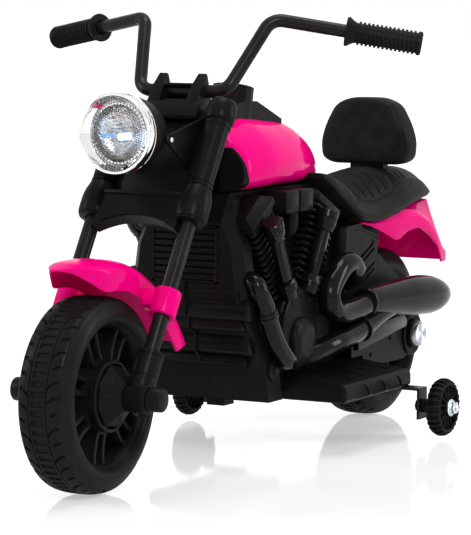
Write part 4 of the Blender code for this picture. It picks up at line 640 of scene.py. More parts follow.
# ---------------------------------------------------------------- growing trees for what repeats
class Growth(Writer):
    """A geometry tree with named inputs that ends in realised instances and a material."""

    def __init__(self, name, **inputs):
        self.tree = bpy.data.node_groups.new(name, "GeometryNodeTree")
        self.tree.is_modifier = True
        face = self.tree.interface
        face.new_socket("Geometry", in_out="INPUT", socket_type="NodeSocketGeometry")
        for title, kind in inputs.items():
            face.new_socket(title, in_out="INPUT", socket_type="NodeSocket" + kind)
        face.new_socket("Finish", in_out="INPUT", socket_type="NodeSocketMaterial")
        face.new_socket("Geometry", in_out="OUTPUT", socket_type="NodeSocketGeometry")
        self.given = self.tree.nodes.new("NodeGroupInput").outputs

    def place(self, points, rotation=None):
        """Sets the piece on every point, then realises, welds and coats it."""
        piece = self.node("GeometryNodeObjectInfo", {"Object": self.given["Piece"]})
        inputs = {"Points": points, "Instance": piece.outputs["Geometry"]}
        if rotation is not None:
            inputs["Rotation"] = rotation
        spread = self.node("GeometryNodeInstanceOnPoints", inputs)
        real = self.node("GeometryNodeRealizeInstances", {"Geometry": spread.outputs["Instances"]})
        inputs = {"Geometry": real.outputs["Geometry"], "Distance": WELD * 1.5}
        weld = self.node("GeometryNodeMergeByDistance", inputs)
        inputs = {"Geometry": weld.outputs["Geometry"], "Material": self.given["Finish"]}
        coat = self.node("GeometryNodeSetMaterial", inputs)
        last = self.node("NodeGroupOutput")
        self.tree.links.new(coat.outputs["Geometry"], last.inputs["Geometry"])
        return self

    def grow(self, piece, finish, guide=None, **inputs):
        """The plain mesh that the tree makes from a piece."""
        host = bpy.data.objects.new("host", guide or bpy.data.meshes.new("seed"))
        part = bpy.data.objects.new("piece", piece)
        for made in (host, part):
            bpy.context.scene.collection.objects.link(made)
        modifier = host.modifiers.new("Grow", "NODES")
        modifier.node_group = self.tree
        inputs.update(Piece=part, Finish=finish)
        for item in self.tree.interface.items_tree:
            if item.in_out == "INPUT" and item.name in inputs:
                modifier[item.identifier] = inputs[item.name]
        graph = bpy.context.evaluated_depsgraph_get()
        mesh = bpy.data.meshes.new_from_object(host.evaluated_get(graph))
        bpy.data.objects.remove(host)
        bpy.data.objects.remove(part)
        return mesh


def ring_growth():
    """Copies of a piece turned about the X axis in equal steps."""
    growth = Growth("round the axle", Piece="Object", Count="Int", Step="Float", First="Float")
    line = growth.node("GeometryNodeMeshLine", {"Count": growth.given["Count"], "Offset": (0.0, 0.0, 0.0)})
    index = growth.node("GeometryNodeInputIndex").outputs["Index"]
    turn = growth.sums("ADD", growth.sums("MULTIPLY", index, growth.given["Step"]), growth.given["First"])
    euler = growth.node("ShaderNodeCombineXYZ", {"X": turn})
    rotation = growth.node("FunctionNodeEulerToRotation", {"Euler": euler.outputs["Vector"]})
    return growth.place(line.outputs["Mesh"], rotation.outputs["Rotation"])


def row_growth():
    """Copies of a piece in one straight row."""
    growth = Growth("along a row", Piece="Object", Count="Int", Step="Vector")
    line = growth.node("GeometryNodeMeshLine", {"Count": growth.given["Count"], "Offset": growth.given["Step"]})
    return growth.place(line.outputs["Mesh"])


def studded_growth():
    """Copies of a piece on the guide's points, each turned to the point's aim."""
    growth = Growth("on marked points", Piece="Object")
    aim = growth.node("GeometryNodeInputNamedAttribute", {"Name": "aim"}, data_type="FLOAT_VECTOR")
    turned = growth.node("FunctionNodeAlignRotationToVector", {"Vector": aim.outputs["Attribute"]}, axis="Z")
    return growth.place(growth.given["Geometry"], turned.outputs["Rotation"])


ROUND_AXLE = ring_growth()
IN_ROW = row_growth()
ON_POINTS = studded_growth()


def round_axle(piece, finish, count, first=0.0, sweep_angle=2 * math.pi):
    return ROUND_AXLE.grow(piece, finish, Count=count, Step=sweep_angle / count, First=first)


def in_row(piece, finish, count, step):
    return IN_ROW.grow(piece, finish, Count=count, Step=step)


def on_points(piece, finish, marks):
    """Marks are (place, aim) pairs."""
    guide = bpy.data.meshes.new("guide")
    guide.from_pydata([spot for spot, _ in marks], [], [])
    aims = guide.attributes.new("aim", "FLOAT_VECTOR", "POINT")
    for item, (_, aim) in zip(aims.data, marks):
        item.vector = aim
    return ON_POINTS.grow(piece, finish, guide)


# ---------------------------------------------------------------- dressing
def dress(name, finish, body, place, *meshes, node="", padded=None):
    """A finished piece, its place in its mesh, riding on a body, in the stead of a node of the solids."""
    mesh = at(place, *meshes)
    mesh.name = name
    mesh.materials.clear()
    mesh.materials.append(finish)
    for face in mesh.polygons:
        face.material_index = 0
    made = bpy.data.objects.new(name, mesh)
    bpy.context.scene.collection.objects.link(made)
    if node:
        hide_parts(node)
    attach(made, body)
    return made


def dress_pair(name, finish, body, place, *meshes, node=""):
    """The left-hand piece and its mirrored twin."""
    for side, turn in (("_left", place), ("_right", place @ MIRROR)):
        dress(name + side, finish, body, turn, *meshes, node=node and node + side)


def coat(node, finish):
    """A CAD node that stays, with its better finish."""
    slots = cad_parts[node].data.materials
    slots.clear()
    slots.append(finish)


def screw_head(radius=0.0028, rise=0.0014):
    """A domed cross-head screw, standing on Z."""
    profile = [(rise, 0.0), (rise * 0.92, radius * 0.45), (rise * 0.55, radius * 0.85), (0.0, radius)]
    dome = lathe(profile + [(-0.001, radius), (-0.001, 0.0)], 24, "Z")
    arm, reach = radius * 0.16, radius * 0.62
    slots = [box((-a, -b, rise * 0.45), (a, b, rise * 2)) for a, b in ((reach, arm), (arm, reach))]
    return carved(dome, *slots)


# ---------------------------------------------------------------- road wheels
TREAD_REPEATS = 8
RUNGS_PER_REPEAT = 8
RUNG_DEPTH = 0.0019
GROOVE_DEPTH = 0.0024
TREAD_STEP = 0.0009
CROWN_RADIUS = 0.1041
SPOKES = 7
SHOULDER_START = 0.0108
TREAD_HALF = 0.0262
# Grooves of one repeat: place round it, first and last share of the run to the shoulder, whether it is hooked
GROOVES = (
    (0.10, -0.05, 0.80, False),
    (0.30, 0.22, 0.80, False),
    (0.50, -0.05, 0.80, False),
    (0.70, 0.08, 0.94, True),
    (0.90, 0.24, 0.76, False),
)
TREAD_PROFILE = mm(
    "26.2 96.2, 25.2 98.4, 23.8 100.2, 21.8 101.5, 19.2 102.4, 16 103.1, 12.8 103.6, 10.9 103.8, 10.6 102.8, "
    "9.9 102.8, 9.6 103.9, 7.5 104, 6.7 104, 3.5 104.05"
)
SIDEWALL = mm("27.6 94.2, 30 90, 31.8 85.2, 31.2 80.6, 29.2 78, 27 77, 25 76, 23 74.8, 21.2 73.5, 17 73.1")


def tread_depth(turn, across):
    """How deep the tread is cut at a share of one repeat and a place across the tyre."""
    reach = abs(across)
    if reach < 0.0080:
        rung = (turn * RUNGS_PER_REPEAT) % 1.0
        return RUNG_DEPTH * held((0.31 - abs(rung - 0.5)) / 0.05) * held((0.0075 - reach) / 0.0007)
    if reach < SHOULDER_START - 0.0001:
        return 0.0
    run = (reach - SHOULDER_START) / (TREAD_HALF - SHOULDER_START)
    depth = 0.0
    for middle, first, last, hooked in GROOVES:
        middle += 0.10 if across < 0 else 0.0
        lean = 0.30 * run - 0.215 * run * run
        apart = (turn - middle + lean + 0.5) % 1.0 - 0.5
        wide = 0.0155 + 0.006 * math.sin(math.pi * held((run - first) / (last - first)))
        cut = held((wide - abs(apart)) / 0.008 + 0.2) * held((run - first) / 0.07) * held((last - run) / 0.06)
        depth = max(depth, cut)
        if hooked:
            bend = (turn - middle + 0.085 + 0.028 + 0.5) % 1.0 - 0.5
            depth = max(depth, held((0.044 - abs(bend)) / 0.008) * held((0.075 - abs(run - 0.87)) / 0.03))
    return GROOVE_DEPTH * depth


def tread_repeat():
    """One repeat of the tread, from the left sidewall to the right one, with fine steps round the tyre."""
    columns = 120
    coarse = 12
    mirrored = [(-along, radius) for along, radius in reversed(TREAD_PROFILE)]
    profile = TREAD_PROFILE + [(0.0, CROWN_RADIUS)] + mirrored
    fine = []
    for (along, radius), (next_along, next_radius) in zip(profile, profile[1:]):
        pieces = max(1, round(math.hypot(along - next_along, radius - next_radius) / TREAD_STEP))
        for piece in range(pieces):
            share = piece / pieces
            fine.append((along + (next_along - along) * share, radius + (next_radius - radius) * share))
    fine.append(profile[-1])
    builder = bmesh.new()
    sector = 2 * math.pi / TREAD_REPEATS

    def spot(along, radius, turn):
        angle = sector * turn
        return builder.verts.new((along, -radius * math.sin(angle), radius * math.cos(angle)))

    rows = []
    for along, radius in fine:
        turns = [step / columns for step in range(columns + 1)]
        rows.append([spot(along, radius - tread_depth(turn, along), turn) for turn in turns])
    for here, there in zip(rows, rows[1:]):
        for step in range(columns):
            builder.faces.new((here[step], here[step + 1], there[step + 1], there[step]))
    every = columns // coarse
    for side, edge in ((1, rows[0]), (-1, rows[-1])):
        previous = [spot(side * SIDEWALL[0][0], SIDEWALL[0][1], step / coarse) for step in range(coarse + 1)]
        for step in range(coarse):
            run = edge[step * every : (step + 1) * every + 1]
            builder.faces.new([previous[step + 1], previous[step]] + run)
        for along, radius in SIDEWALL[1:]:
            ring = [spot(side * along, radius, step / coarse) for step in range(coarse + 1)]
            for step in range(coarse):
                builder.faces.new((previous[step], previous[step + 1], ring[step + 1], ring[step]))
            previous = ring
        if side > 0:
            left = previous
    for step in range(coarse):
        builder.faces.new((left[step], left[step + 1], previous[step + 1], previous[step]))
    mesh = bpy.data.meshes.new("tread repeat")
    builder.to_mesh(mesh)
    builder.free()
    return mesh


def tyre_mesh():
    ring = round_axle(tread_repeat(), TYRE, TREAD_REPEATS)
    builder = bmesh.new()
    builder.from_mesh(ring)
    return closed_mesh(builder, 30.0)


def twin_spoke():
    """Two blades that part towards the rim, with the set-back web that ties them."""
    parts = []
    for side in (-1, 1):
        rings = []
        for reach, offset, half, depth in mm("34 7 3 20, 46 7.6 2.6 18, 62 8.6 2.6 17, 74.5 9.8 3.2 18.5"):
            low, high = side * offset - half, side * offset + half
            rings.append(level_ring(-depth, depth, low, high, reach))
        parts.append(eased(loft(rings), 0.0008))
    web = ((0.034, 0.0066), (0.0745, 0.0094))
    parts.append(loft([level_ring(-0.0070, 0.0070, -half, half, reach) for reach, half in web]))
    foot = box((-0.0190, -0.0100, 0.0350), (0.0190, 0.0100, 0.0405), 0.0015)
    return gathered(*parts, foot)


def rim_mesh():
    barrel = mm("20.8 73.8, 18.5 72.2, 15 71.2, -15 71.2, -18.5 72.2, -20.8 73.8, -19.5 74.5, 19.5 74.5")
    drum = mm(
        "29.8 34.5, 30 36.2, 28.8 38, 23 38.2, 21.5 37, -21.5 37, -23 38.2, -28.8 38, -30 36.2, -29.8 34.5, "
        "-24 33.8, -24 5.8, 24 5.8, 24 33.8"
    )
    spokes = round_axle(twin_spoke(), RIM, SPOKES)
    return gathered(lathe(barrel, 128, closed=True), lathe(drum, 72, closed=True), spokes)


tyre = tyre_mesh()
rim = rim_mesh()
for title, place, body in (("front", FRONT_AXLE, "front_wheel_set"), ("rear", REAR_AXLE, "rear_wheel_set")):
    dress(title + "_tyre", TYRE, body, place, tyre, node=title + "_wheel")
    dress(title + "_rim", RIM, body, place, rim)


def hub_cap():
    """The eight-sided fluted cone with an almond-shaped rib on each face."""
    base, tip, sides = 0.0262, 0.0478, 8
    rings = []
    for along, radius in mm("0 33.2", base) + mm("31.2 33.4, 32.2 32.6") + mm("-1.2 16.6, 0 15.6", tip):
        ring = []
        for corner in range(sides):
            angle = 2 * math.pi * corner / sides
            for lean in (-0.03, 0.03):
                ring.append(Vector((along, radius * math.sin(angle + lean), radius * math.cos(angle + lean))))
        rings.append(ring)
    cone = loft(rings, 20.0)
    slope = math.atan2(0.0148, 0.0160)
    seed = lathe(mm("0.9 0, 0.7 0.9, 0 1.6, -0.8 1.6, -0.8 0"), 16, "X")
    seed.transform(Matrix.Diagonal((1.0, 1.0, 3.6, 1.0)))
    seed.transform(moved(0.0396, 0.0, 0.0226) @ Matrix.Rotation(-slope, 4, "Y"))
    ribs = round_axle(seed, BLACK, sides, math.pi / sides)
    collar = lathe(mm("0.8 0, 0.8 12.5, -2 13.2, -2 0", tip), 48, ease=0.0004)
    return gathered(cone, ribs, collar)


cap = hub_cap()
for name, place in (("hub_cap_left", FRONT_AXLE), ("hub_cap_right", FRONT_AXLE @ MIRROR)):
    dress(name + "_form", BLACK, "front_wheel_set", place, cap, node=name)


# ---------------------------------------------------------------- front fork
def fork_end():
    socket = mm(
        "52 0, 52 13.8, 51.2 15, 49 15.2, 47.8 15, 47.4 14.3, 46.6 14.3, 46.2 14.9, 30 14.7, 24 14.6, "
        "23.3 13.9, 22.5 13.9, 21.8 14.8, 15 15.5, 11 15.2, 6 14, 0 12.2, -4 0"
    )
    sleeve = mm(
        "74 0, 74 14.6, 73 15.6, 71.2 15.7, 70.6 15, 69.8 15, 69.2 15.5, 51 15.2, 50.2 14.2, 48.8 14.2, 48.8 0"
    )
    upright = at(moved(FORK_X, 0.0, 0.0), lathe(socket, 56, "Z"))
    tab = box((0.0520, 0.0040, -0.0150), (0.0560, 0.0145, 0.0100), 0.001)
    return gathered(upright, lathe(sleeve, 56), tab)


def axle_cap():
    profile = mm("89.5 0, 89.5 10.8, 88.9 12, 87.8 12.7, 75.2 13, 74.6 12.4, 74.1 12.4, 74.1 0")
    return lathe(profile, 56)


dress_pair("fork_foot", BLACK, "steering", FRONT_AXLE, fork_end(), node="fork_end")
dress_pair("axle_knob", BLACK, "steering", FRONT_AXLE, axle_cap(), node="axle_cap")
leg = rod((FORK_X, -FORK_OFFSET, 0.0310), (FORK_X, -FORK_OFFSET, 0.3370), 0.0085, sides=48)
dress_pair("fork_leg", TUBE, "steering", STEER, leg, node="fork_tube")


def fork_barrel():
    """The shroud over a fork tube: a domed cap, a ringed waist and the swollen collar with its lip."""
    profile = mm(
        "356 0, 356 8.5, 354.5 12.5, 351 15, 345 16.4, 339 16.9, 332 16.7, 329 15.7, 328 14.9, 327.6 14, "
        "326.7 14, 326.3 15, 322.6 15, 322.2 14.2, 321.2 14.2, 320.8 13.8, 253 13.8, 252.6 13, 251.8 13, "
        "251.4 14.1, 247.8 14.3, 247.4 13.4, 246.6 13.4, 246.2 14.4, 244 15, 236 17.4, 229 18.5, 220 18.7, "
        "210.5 18.4, 208 17.6, 207.6 16.4, 205.8 16.4, 205.4 15, 205 9.6, 215 9.2, 215 0"
    )
    return at(moved(FORK_X, -FORK_OFFSET, 0.0), lathe(profile, 64, "Z"))


def lamp_ear():
    outline = mm("-79.5 271.2, -81.5 275, -79 278.5, -20 335, -16 335, -16 271.5, -20 269")
    plate = prism(outline, 0.0376, 0.0404, ease=0.0005, fillet=0.0016)
    rib = sweep([Vector((0.0407, -0.0780, 0.2790)), Vector((0.0407, -0.0205, 0.3340))], 0.0009, resolution=2)
    seat = at(moved(0.0402, *LAMP_PIVOT), lathe(mm("1.6 0, 1.6 4, 0 4.6, 0 0"), 32))
    return gathered(plate, rib, seat)


def fork_yoke():
    reach, arch_z, lip_radius = 0.0500, 0.1080, 0.0990
    panel = box((-reach, -0.0195, 0.2352), (reach, -0.0130, 0.3340), 0.0012)
    plate = prism(mm("-19.5 327, -19.5 345, 15 345.5, 16 326.5"), -0.0400, 0.0400, ease=0.0010)
    visor = prism(mm("-28.5 327.6, -31.2 330, -31 346.2, -12 346.2, -12 333"), -0.0350, 0.0350, ease=0.0008)
    bridge = prism(mm("-33 188, -33 233, -15 235.5, -15 188"), -reach, reach, ease=0.0014)
    arch = rod((0, -0.1, arch_z), (0, 0.1, arch_z), lip_radius - 0.0015, sides=128)
    bridge = gathered(carved(bridge, arch), box((-0.0200, -0.0160, 0.2150), (0.0200, 0.0150, 0.3300), 0.002))
    ledge = prism(mm("-34.5 231, -34.5 234.5, -33 236, -18 236.5, -18 230"), -0.0470, 0.0470, ease=0.0008)
    turns = [-0.43 + 0.86 * step / 32 for step in range(33)]
    round_lip = [Vector((lip_radius * math.sin(a), -0.0336, arch_z + lip_radius * math.cos(a))) for a in turns]
    lip = sweep(round_lip, 0.0010, resolution=2)
    return gathered(panel, plate, visor, bridge, ledge, lip, both(fork_barrel()), both(lamp_ear()))


dress("fork_yoke", BLACK, "steering", STEER, fork_yoke(), node="fork_cover")
ear_screw = screw_head(0.0030, 0.0013)
marks = [(Vector((side * 0.0418, *LAMP_PIVOT)), Vector((side, 0.0, 0.0))) for side in (1, -1)]
dress("lamp_screws", SCREW, "steering", STEER, on_points(ear_screw, SCREW, marks))


# ---------------------------------------------------------------- handlebar
BAR_FOOT = Vector((0.0536, -0.0144, 0.370))
BAR_SHOULDER = Vector((0.0791, -0.0075, 0.4675))
GRIP_END = Vector((0.2316, 0.0590, 0.4785))
GRIP_RUN = (GRIP_END - BAR_SHOULDER).normalized()
GRIP_LENGTH = 0.0845
half_bar = [BAR_FOOT, BAR_SHOULDER, GRIP_END - GRIP_RUN * 0.005]
corners = [Vector((-spot.x, spot.y, spot.z)) for spot in reversed(half_bar)] + half_bar
bar = sweep(bent_path(corners, 0.019, 14), 0.0073, resolution=8)
dress("bent_bar", TUBE, "steering", STEER, bar, node="handlebar")


def grip():
    """A rubbery sleeve with a trumpet-shaped flange, an end bead and deep ribs."""
    sleeve = mm("0 0, 0 10.8, -0.8 12.7, -2.2 13.2, -4.5 13.1, -5.8 11.2", GRIP_LENGTH)
    sleeve += mm("14.5 10.8, 11 11.4, 8 12.8, 5 14.8, 3.2 16, 1.6 16.2, 0.3 15.4, 0 10, 0.4 8.2, 6 8.1, 6 0")
    rib = lathe(mm("1.6 10.4, 1.3 12.4, 0.6 13, -0.6 13, -1.3 12.4, -1.6 10.4"), 40, "Z", closed=True)
    ribs = in_row(at(moved(0.0, 0.0, 0.0150), rib), SOFT_BLACK, 14, (0.0, 0.0, 0.00466))
    return gathered(lathe(sleeve, 56, "Z"), ribs)


grip_mesh = grip()
start = GRIP_END - GRIP_RUN * GRIP_LENGTH
for side, name in ((1, "left"), (-1, "right")):
    turn = Matrix.Diagonal((side, 1.0, 1.0))
    place = STEER @ aimed(turn @ start, turn @ GRIP_RUN)
    dress("ribbed_grip_" + name, SOFT_BLACK, "steering", place, grip_mesh, node="grip_" + name)


def bar_clamp():
    """The block that holds the bar: two tapering cheeks, the flat crosspiece between them and the base."""
    rings = []
    for z, inner, outer, front, back in mm(
        "346.2 16.1 31.2 -30 1.4, 364 17 30.7 -29 1.4, 370 17.3 30.5 -28.4 -4, 384.5 19 29.2 -25.2 -18, "
        "386.8 19.3 29 -24.6 -20.5"
    ):
        rings.append(level_ring(inner, outer, front, back, z))
    cheeks = both(eased(loft(rings), 0.0007, 2, 20.0))
    base = box((-0.0312, -0.0300, 0.3458), (0.0312, 0.0010, 0.3490), 0.0006)
    crosspiece = box((-0.0190, -0.0286, 0.3694), (0.0190, -0.0120, 0.3722), 0.0005)
    ledge = box((-0.0120, -0.0270, 0.3480), (0.0140, -0.0180, 0.3530), 0.0006)
    nut = eased(lathe(mm("356 0, 356 4.2, 348 4.2, 348 0"), 6, "Z"), 0.0004)
    back = box((-0.0190, -0.0060, 0.3480), (0.0190, -0.0040, 0.3700))
    return gathered(cheeks, base, crosspiece, ledge, back, at(moved(0.0050, -0.0140, 0.0), nut))


dress("bar_clamp_block", BLACK, "steering", STEER, bar_clamp(), node="handlebar_clamp")


# ---------------------------------------------------------------- headlight
BOWL_BACK = -0.0183
DISH_BACK = -0.0178
DISH_RADIUS = 0.0330
LENS_RADIUS = 0.0327
LENS_CROWN = 0.0078


def lamp_bowl():
    outer, inner = [], []
    for step in range(15):
        turn = math.pi / 2 * step / 14
        share = max(0.0, math.cos(turn)) ** 0.8 if step < 14 else 0.0
        outer.append((BOWL_BACK - 0.060 * math.sin(turn), 0.0405 * share))
        inner.append((BOWL_BACK - 0.0578 * math.sin(turn), 0.0383 * share))
    bowl = lathe(inner[::-1] + outer, 96, "Z")
    bead = lathe(mm("-19 40, -19 41.2, -21.5 41.2, -22.2 40"), 96, "Z", closed=True)
    return gathered(bowl, bead)


def lamp_boss():
    spots = [[Vector((side * reach, *LAMP_PIVOT)) for reach in (0.0180, 0.0377)] for side in (1, -1)]
    return gathered(*[rod(near, far, 0.0055, 0.0046, ease=0.0005) for near, far in spots])


def lamp_bezel():
    """The deep chrome ring with its rolled lip, inner cone and stepped root."""
    outline = mm(
        "0 41.2, -0.4 42.4, -1.6 43, -3.5 42.8, -5 42.4, -6 42.7, -15 42.9, -15.8 42.5, -16.4 42.9, "
        "-17.8 42.4, -18 40, -18 33, -10.5 33, -9.8 33.4, -8.5 35.2, -5 37.6, -2 39.6, -0.4 40.4"
    )
    return lathe(outline, 128, "Z", closed=True)


def lamp_lens():
    """A shallow dome, seen before the dish."""
    dome = [(-0.0022 - LENS_CROWN * (step / 14) ** 2, LENS_RADIUS * step / 14) for step in range(15)]
    back = mm("-11.6 32.7, -9.8 30, -5.2 15, -4 0")
    return lathe(dome + back, 96, "Z")


def lens_dots():
    rows = []
    for ring, (radius, count) in enumerate(((0.0235, 60), (0.0255, 66), (0.0275, 72), (0.0295, 76))):
        rise = -0.0020 - LENS_CROWN * (radius / LENS_RADIUS) ** 2
        dot = lathe(mm("0.6 0, 0.4 0.5, 0 0.8, -0.4 0.8, -0.4 0"), 8, "X")
        dot.transform(moved(rise, 0.0, radius))
        rows.append(round_axle(dot, GREY, count, 0.05 * ring))
    return at(Matrix.Rotation(-math.pi / 2, 4, "Y"), *rows)


def lamp_reflector():
    """The plated dish behind the lens, with its fluted ring and lamp seat."""
    profile = [(DISH_BACK, 0.0374), (DISH_BACK, DISH_RADIUS)]
    for step in range(1, 12):
        turn = math.pi / 2 * step / 12
        profile.append((DISH_BACK - 0.0200 * math.sin(turn), DISH_RADIUS * math.cos(turn) ** 0.7))
    profile += mm("-38 4.5, -33.5 4.2, -33.5 0")
    dish = walled(lathe(profile, 96, "Z"), 0.0012, -1.0)
    flute = lathe(mm("0.8 0, 0.5 1.1, 0 1.6, -0.6 1.6, -0.6 0"), 10, "X")
    flute.transform(moved(-0.0118, 0.0, 0.0312))
    ring = at(Matrix.Rotation(-math.pi / 2, 4, "Y"), round_axle(flute, MIRRORED, 48))
    return dish, ring


lamp_shell = at(LAMP, lamp_bowl()), at(STEER, lamp_boss())
dress("lamp_bowl", BLACK, "steering", Matrix.Identity(4), *lamp_shell, node="headlight_bowl")
dress("lamp_bezel", CHROME, "steering", LAMP, lamp_bezel(), node="headlight_bezel")
dress("lamp_lens", LENS, "steering", LAMP, lamp_lens(), node="headlight_lens")
dish, fluting = lamp_reflector()
dress("lamp_reflector", MIRRORED, "steering", LAMP, dish, node="headlight_reflector")
dress("lamp_fluting", CHROME, "steering", LAMP, fluting)
dress("lens_dots", GREY, "steering", LAMP, lens_dots())
diode = lathe(mm("-13 0, -13.6 2.4, -15.2 3.8, -33.4 4, -33.4 0"), 32, "Z")
dress("lamp_diode", DIODE, "steering", LAMP @ moved(0.0, -0.0040, 0.0), diode)
# Painted glint: a thin glowing bar behind the lens.
painted_glint = box((-0.0230, -0.0052, -0.0150), (-0.0050, -0.0012, -0.0140), 0.0004)
dress("diode_streak", PAINTED_BLUE_GLINT, "steering", LAMP, painted_glint)
# Painted shade of the lamp's two drain openings: dark oval discs near the lens's edge.
oval = at(Matrix.Diagonal((1.25, 0.85, 1.0, 1.0)), lathe(mm("-9.8 0, -10 2.2, -10.6 2.2, -10.6 0"), 24, "Z"))
ovals = [at(Matrix.Rotation(turn, 4, "Z") @ moved(0.0, -0.0288, 0.0), oval) for turn in (-0.12, 0.12)]
dress("lamp_drain_ovals", DEEP_BLACK_AND_PAINTED_SHADE, "steering", LAMP, *ovals)


# ---------------------------------------------------------------- fenders
FENDER_WALL = 0.0025


def fender_spot(radius, angle, across):
    """A point round the front axle, in the fork's frame: 0 is straight back, 90 degrees straight up."""
    line = Vector((0.0, math.sin(RAKE), math.cos(RAKE)))
    back = Vector((0.0, math.cos(RAKE), -math.sin(RAKE)))
    world = Vector((0.0, radius * math.cos(angle), radius * math.sin(angle)))
    return Vector((across, world.dot(back), world.dot(line)))


def front_fender():
    """The crowned blade, its flared tip, the sleeves round the fork legs and their webs."""
    half_section = [(0.55, 0.04), (0.90, 0.20), (1.0, 0.45), (1.0, 1.0)]
    section = [(-across, drop) for across, drop in reversed(half_section)] + [(0.0, 0.0)] + half_section
    section = [(spot.x, spot.y) for spot in smooth_path([Vector((*spot, 0.0)) for spot in section], 5)]
    # Angle, radius of the crest, half-width and radius of the edge
    line = (
        (118.0, 0.1546, 0.0040, 0.1525),
        (114.0, 0.1520, 0.0125, 0.1450),
        (108.0, 0.1490, 0.0225, 0.1290),
        (101.0, 0.1452, 0.0305, 0.1140),
        (92.0, 0.1426, 0.0340, 0.1105),
        (72.0, 0.1416, 0.0345, 0.1100),
        (56.0, 0.1420, 0.0350, 0.1098),
        (40.0, 0.1440, 0.0375, 0.1115),
        (28.0, 0.1480, 0.0395, 0.1160),
        (16.5, 0.1535, 0.0400, 0.1235),
    )
    rows = []
    places = smooth_path([Vector((angle, crest * 1000.0, half * 1000.0)) for angle, crest, half, _ in line], 8)
    edges = smooth_path([Vector((angle, edge * 1000.0, 0.0)) for angle, _, _, edge in line], 8)
    for place, edge in zip(places, edges):
        crest, half, angle = place.y / 1000.0, max(0.003, place.z / 1000.0), math.radians(place.x)
        skirt = max(0.001, crest - edge.y / 1000.0)
        rows.append([fender_spot(crest - skirt * drop, angle, across * half) for across, drop in section])
    blade = eased(walled(skin(rows), FENDER_WALL), 0.0007, 2, 50.0)
    sleeve = mm("124 8.9, 124 13.8, 123.5 14.3, 118 14.6, 100 14.5, 95.5 14.3, 95 13.8, 95 8.9")
    sleeve = at(moved(FORK_X, 0.0, 0.0), lathe(sleeve, 56, "Z", closed=True))
    web = box((0.0325, -0.0075, 0.1040), (0.0500, 0.0075, 0.1232), 0.0015)
    strap = box((FORK_X - 0.0140, 0.0085, 0.0880), (FORK_X - 0.0090, 0.0150, 0.1020), 0.0012)
    return gathered(blade, both(sleeve), both(web), both(strap))


dress("front_fender_blade", PINK, "steering", FRONT_AXLE, front_fender(), node="front_fender")
sleeve_screw = screw_head(0.0026, 0.0012)
marks = [(Vector((side * (FORK_X - 0.0115), 0.0148, 0.0950)), Vector((0.0, 1.0, 0.0))) for side in (1, -1)]
dress("fender_screws", DEEP_BLACK_AND_PAINTED_SHADE, "steering", FRONT_AXLE, on_points(sleeve_screw, DEEP_BLACK_AND_PAINTED_SHADE, marks))


def seat_base(y):
    """Height of the seat's underside, in the solids' own Y before it is centred."""
    return 0.2530 + 0.062 * (y - 0.170)


# y, shoulder's half-width, drop, flare's half-width and height, opening's half-width and height
REAR_SECTIONS = mm(
    "176.5 48 0 60 253.5 61.5 250, 205 48 0 61.5 250.5 64 244, 245 48 0 62.2 258 67.2 230, "
    "265 48 0 62.4 259.2 68 224.6, 295 48 0 62.4 259.8 68.2 233, 328 48 1 62 257 68.2 234.8, "
    "355 47 2 61.2 250 67.8 227, 375 46 3 60.2 238.5 66.8 217.5, 392 44 3 59 225.5 65.5 207.5, "
    "411 41 3 57.5 215 62.8 188.5, 415 40 17 56 212.5 61.2 186, 434 36 22 53 205 57.5 186, "
    "447.1 31 31 49 199 53 186"
)


def rear_fender():
    """The skin under the seat and over the wheel, with its crisp flare line and rounded tail."""
    rows = []
    for y, shoulder, drop, flare, flare_z, side, opening in REAR_SECTIONS:
        top = seat_base(y) - 0.0003
        spine = top - drop if y > 0.412 else top
        row = [(0.0, spine), (shoulder * 0.5, spine - drop * 0.1), (shoulder, top - drop)]
        row.append((flare, min(flare_z, top - drop - 0.0004)))
        row += [(side, (flare_z * 2 + opening) / 3), (side, (flare_z + opening * 2) / 3), (side, opening)]
        points = [(-across, z) for across, z in reversed(row[1:])] + row
        rows.append([Vector((across, y, z)) for across, z in points])
    columns = []
    for line in zip(*rows):
        columns.append(smooth_path(line[:10], 6)[:-1] + smooth_path(line[9:], 6))
    return eased(walled(skin(list(zip(*columns)), end=True, angle=20.0), FENDER_WALL), 0.0005, 2, 20.0)


dress("rear_fender_skin", PINK, "frame", BODY, rear_fender(), node="rear_fender")
lamp = box((-0.019, 0.4474, 0.2100), (0.019, 0.4518, 0.2300), 0.0016, 3)
prism_bar = at(moved(-0.0162, 0.4516, 0.2200), lathe(mm("0.5 0, 0 0.9, -0.4 0"), 4, "Z"))
stretch = Matrix.Diagonal((1.0, 1.0, 14.0, 1.0))
prism_bar.transform(moved(0.0, 0.0, 0.2200) @ stretch @ moved(0.0, 0.0, -0.2200))
flutes = in_row(prism_bar, RED, 18, (0.0019, 0.0, 0.0))
dress("tail_lamp_lens", RED, "frame", BODY, lamp, flutes, node="tail_lamp")


# ---------------------------------------------------------------- tank and console
TANK_FRONT = -0.132
TANK_LENGTH = 0.300
TANK_HALF = 0.072
TANK_HEIGHT = 0.089


